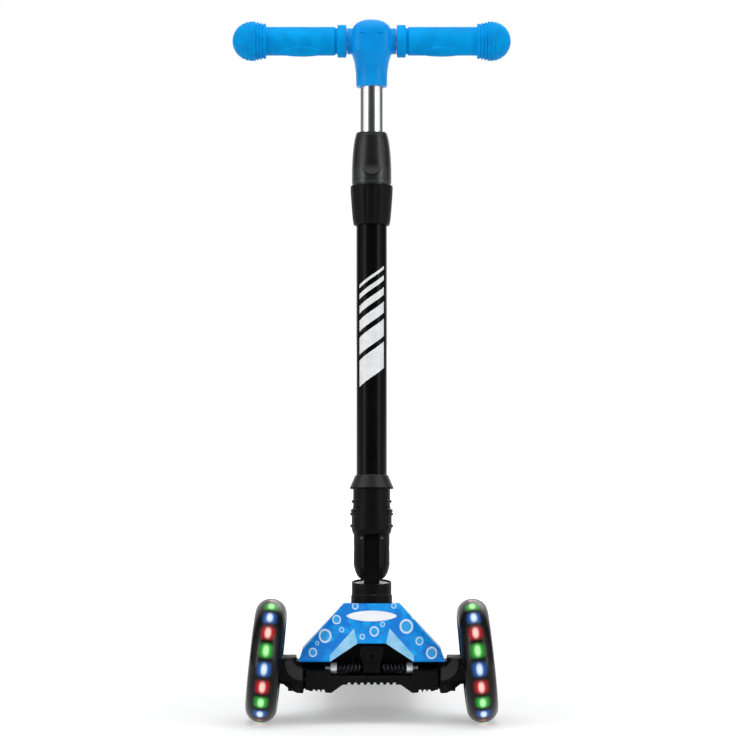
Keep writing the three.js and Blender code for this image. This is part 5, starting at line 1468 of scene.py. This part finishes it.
def build_springs():
    wire = CENTRING_SPRING[1]
    for side, outward in SIDES:
        low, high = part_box(f"centring_spring_{side}")
        middle = (low + high) / 2
        start = low.x if outward > 0 else high.x
        place = Matrix.Translation((start + outward * (wire + SPRING_ROOM) * MM, middle.y, middle.z))
        length = (high.x - low.x) / MM - 2 * wire - SPRING_ROOM
        made = spring(f"centring_spring_{side}_coil", *CENTRING_SPRING, length)
        dress(made, "dark_spring", place @ Matrix.Diagonal((outward, 1, 1, 1)), [f"centring_spring_{side}"])
    low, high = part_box("brake_spring")
    middle = (low + high) / 2
    wire = BRAKE_SPRING[1]
    made = spring("brake_spring_coil", *BRAKE_SPRING, (high.x - low.x) / MM - 2 * wire)
    dress(made, "bright_fixings", Matrix.Translation((low.x + wire * MM, middle.y, middle.z)), ["brake_spring"])


# Wheels. Each is made round Z.

FRONT = {
    "radius": 60, "half": 14, "seen_half": 15.2, "bore": 41, "land": 11.5, "rim": 40.7, "floor": 34.7,
    "hub": 15, "hub_half": 12, "spokes": 6, "spoke_narrow": 4.5, "spoke_wide": 9, "spoke_half": 4.5,
}
REAR = {
    "radius": 39.7, "half": 13, "seen_half": 13, "bore": 26, "land": 10.5, "rim": 25.7, "floor": 21.2,
    "hub": 14, "hub_half": 12, "spokes": 5, "spoke_narrow": 4, "spoke_wide": 8, "spoke_half": 4.5,
}
# Points of a tyre's side, each as (out from the bore, in from the widest place).
TYRE_SIDE = ((2.0, 1.1), (3.2, 0.35))
TYRE_LIP = (1.6, 0.5)
RIM = {"well": 1.1, "well_half": 4, "root": 1}
HUB = {"edge": 0.9, "edge_depth": 3, "root": 1.4}
BEARING = {
    "radius": 11, "bore": 4, "half": 3.5, "seat": 11.3, "seat_depth": 7.3, "lip": 8.8, "shield": (6.5, 8.6),
    "inner_race": 6.1, "outer_race": 9, "sunk": 0.65,
}


def tyre(name, size):
    """A round tyre with a lip at each side of its bore."""
    crown = size["radius"] - size["half"]
    half = size["seen_half"]
    crest = [(crown + size["half"] * math.cos(t), half * math.sin(t)) for t in
             (math.radians(-90 + 180 * i / 48) for i in range(49))]
    bore, land = size["bore"], size["land"]
    lip = [(bore, -land), (bore + TYRE_LIP[0], -land - TYRE_LIP[1])]
    lip += [(bore + out, inward - half) for out, inward in TYRE_SIDE]
    profile = lip + crest + [(radius, -z) for radius, z in reversed(lip)]
    return smooth(lathe(name, profile, 192), 50)


def wheel_core(name, size):
    """Rim, spokes and hub in one, with a seat for a bearing at each side."""
    land, floor = size["land"], size["floor"]
    well, well_half = floor - RIM["well"], RIM["well_half"]
    rim = rounded([(floor, -land), (size["rim"], -land), (size["rim"], land), (floor, land),
                   (well, well_half), (well, -well_half)], 0.8, 3)
    core = lathe(name, rim, 144)
    half, seat, deep = size["hub_half"], BEARING["seat"], BEARING["seat_depth"]
    face, edge = size["hub"] - HUB["edge"], half - HUB["edge_depth"]
    top = [(size["hub"], edge), (face, half), (seat, half), (seat, half - deep), (BEARING["lip"], half - deep)]
    hub = lathe("hub", [(radius, -z) for radius, z in reversed(top)] + top, 96)
    spokes = []
    inner, outer = size["hub"] - HUB["root"], floor + RIM["root"]
    for i in range(size["spokes"]):
        outline = [(inner, -size["spoke_narrow"]), (outer, -size["spoke_wide"]), (outer, size["spoke_wide"]),
                   (inner, size["spoke_narrow"])]
        spoke = slab("spoke", outline, -size["spoke_half"], size["spoke_half"])
        spokes.append(moved(spoke, turn(360 / size["spokes"] * i + 90, "Z")))
    combine(core, hub, *spokes, how="UNION")
    return soften(core, 0.9, 3, 35)


def bearing(name):
    """A bearing's two races with a sunk shield between them."""
    half = BEARING["half"]
    shield_half = half - BEARING["sunk"]
    start, end = BEARING["shield"]
    side = [(BEARING["bore"], half), (BEARING["inner_race"], half), (start, shield_half), (end, shield_half),
            (BEARING["outer_race"], half), (BEARING["radius"], half)]
    outline = [(radius, -z) for radius, z in side] + side[::-1]
    return smooth(lathe(name, rounded(outline, 0.3, 2), 72))


def build_wheels():
    for side, size in (("left", FRONT), ("right", FRONT), ("rear", REAR)):
        lit = side != "rear"
        place = wheel_frames[side]
        if side == "left":
            place = place @ turn(180, "X")
        finish = "lit_tyre" if lit else "tyre_rubber"
        dress(tyre(f"tyre_{side}_rubber", size), finish, place, [f"tyre_{side}"])
        dress(wheel_core(f"wheel_core_{side}_moulding", size), "black_moulding", place, [f"wheel_core_{side}"])
        for where in ("inner", "outer"):
            node = f"bearing_{where}_{side}"
            centre = place.copy()
            centre.translation = sum(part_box(node), Vector()) / 2
            dress(bearing(f"{node}_race"), "steel_fixings", centre, [node])
        dress_node(f"bearing_spacer_{side}", "steel_fixings")
        if lit:
            dress_node(f"light_ring_{side}", "light_blocks")


# Deck and foot brake


def build_deck():
    dress(copy_of("deck_base", 1.2, 3), "black_moulding", scooter_frame, ["deck_base"])
    dress(copy_of("deck_pad", 0.7, 3), "deck_rubber", scooter_frame, ["deck_pad"])
    dress(copy_of("brake_fender", 0.8, 3, 32), "black_plastic", scooter_frame, ["brake_fender"])
    for node in ("rear_axle_nut", "brake_pin"):
        dress(copy_of(node, 0.4, 2), "steel_fixings", scooter_frame, [node])
    bolt = head_of_bolt("rear_axle_bolt_head", *REAR_AXLE_BOLT)
    dress(bolt, "steel_fixings", wheel_frames["rear"] @ shift(z=SEATS["rear"]), ["rear_axle_bolt"])


# Stage, light and camera

VIEW = {"distance": 3160, "across": -3.6, "height": 400, "down_degrees": 1.117, "lens": 149.6}
FLOOR = {"half": 9000, "front": -6000, "back": 30000}
# The floor gives this much light of its own near the scooter and far from it.
FLOOR_LIFT = {"near": 0.34, "far": 1.0, "from": 330, "to": 1300}
# Where a mirror sees the lit side walls and the black card, in degrees round from the camera.
ROOM = {"lit": (26, 48), "card": (90, 102, 128, 142), "card_level": 0.2, "least": 0.16, "fill": 0.4}
LAMPS_AIM = (0, -0.15, 0.35)
# Place in metres, width, height and power.
LAMPS = {
    "top light": ((0, -0.5, 2.6), 2.2, 1.6, 27),
    "left light": ((-2.1, -1.5, 1.0), 0.7, 2.0, 18),
    "right light": ((2.1, -1.5, 1.0), 0.7, 2.0, 18),
    "back light": ((0.6, 2.2, 1.7), 1.8, 1.2, 16),
}


def build_floor():
    half, front, back = FLOOR["half"], FLOOR["front"], FLOOR["back"]
    corners = [(-half, front, 0), (half, front, 0), (half, back, 0), (-half, back, 0)]
    floor = add_mesh("floor", corners, [[0, 1, 2, 3]])
    material = bpy.data.materials.new("pale floor")
    material.use_nodes = True
    sheet = Sheet(material.node_tree)
    sheet.tree.nodes.clear()
    ray = sheet.node("ShaderNodeLightPath").outputs
    seen = sheet.math("MAXIMUM", sheet.math("MAXIMUM", ray["Is Camera Ray"], ray["Is Glossy Ray"]),
                      ray["Is Transmission Ray"])
    speck = sheet.noise(sheet.own_place(), 40, 4)
    away = sheet.node("ShaderNodeVectorMath", {0: sheet.own_place()}, operation="LENGTH").outputs["Value"]
    glow = sheet.remap(away, FLOOR_LIFT["from"] * MM, FLOOR_LIFT["to"] * MM,
                       FLOOR_LIFT["near"], FLOOR_LIFT["far"])
    paint = sheet.blend(speck, (0.72, 0.72, 0.725, 1), (0.76, 0.76, 0.765, 1))
    matt = sheet.node("ShaderNodeBsdfDiffuse", {"Color": paint}).outputs[0]
    lift = sheet.node("ShaderNodeEmission", {
        "Color": (1, 1, 1, 1), "Strength": sheet.math("MULTIPLY", seen, glow),
    }).outputs[0]
    both = sheet.node("ShaderNodeAddShader")
    sheet.feed(matt, both.inputs[0])
    sheet.feed(lift, both.inputs[1])
    sheet.feed(both.outputs[0], sheet.node("ShaderNodeOutputMaterial").inputs["Surface"])
    floor.data.materials.append(material)


def build_room():
    """A pale studio: white behind, soft grey light all round, and a dark gap before the object."""
    world = bpy.data.worlds.new("studio")
    bpy.context.scene.world = world
    world.use_nodes = True
    sheet = Sheet(world.node_tree)
    sheet.tree.nodes.clear()
    toward = sheet.split(sheet.node("ShaderNodeTexCoord").outputs["Generated"])
    round_about = sheet.math("ABSOLUTE", sheet.math("ARCTAN2", toward["X"],
                                                    sheet.math("MULTIPLY", toward["Y"], -1.0)))
    lit_side = sheet.remap(round_about, *map(math.radians, ROOM["lit"]))
    start, full, fall, end = map(math.radians, ROOM["card"])
    black_card = sheet.math("MULTIPLY", sheet.remap(round_about, start, full),
                            sheet.remap(round_about, end, fall))
    mirror = sheet.math("MULTIPLY", lit_side, sheet.remap(black_card, 0.0, 1.0, 1.0, ROOM["card_level"]))
    mirror = sheet.math("MAXIMUM", mirror, ROOM["least"])
    ray = sheet.node("ShaderNodeLightPath").outputs
    white = sheet.math("MAXIMUM", ray["Is Camera Ray"], ray["Is Transmission Ray"])
    mixed = sheet.node("ShaderNodeMix", {"Factor": ray["Is Glossy Ray"]})
    sheet.feed(ROOM["fill"], mixed.inputs[2])
    sheet.feed(mirror, mixed.inputs[3])
    strength = sheet.math("MAXIMUM", mixed.outputs[0], white)
    background = sheet.node("ShaderNodeBackground", {"Color": (1, 1, 1, 1), "Strength": strength})
    sheet.feed(background.outputs[0], sheet.node("ShaderNodeOutputWorld").inputs["Surface"])


def build_lamps():
    for name, (place, width, height, power) in LAMPS.items():
        lamp = bpy.data.lights.new(name, "AREA")
        lamp.shape = "RECTANGLE"
        lamp.size, lamp.size_y = width, height
        lamp.energy = power
        made = add_piece(name, lamp)
        made.location = place
        made.rotation_euler = (Vector(LAMPS_AIM) - Vector(place)).to_track_quat("-Z", "Y").to_euler()


def build_camera():
    camera = add_piece("camera", bpy.data.cameras.new("camera"))
    camera.data.lens = VIEW["lens"]
    camera.data.clip_end = 100
    camera.location = Vector((VIEW["across"], -VIEW["distance"], VIEW["height"])) * MM
    camera.rotation_euler = (math.radians(90 - VIEW["down_degrees"]), 0, 0)
    bpy.context.scene.camera = camera


bpy.context.scene.view_settings.view_transform = "Standard"
build_grips()
build_head()
build_tubes()
build_stripes()
build_clamp()
build_clamp_ring()
build_sleeve()
build_fork()
build_collar()
build_cover()
build_guards()
build_label()
build_axle()
build_fixings()
build_springs()
build_wheels()
build_deck()
build_floor()
build_room()
build_lamps()
build_camera()
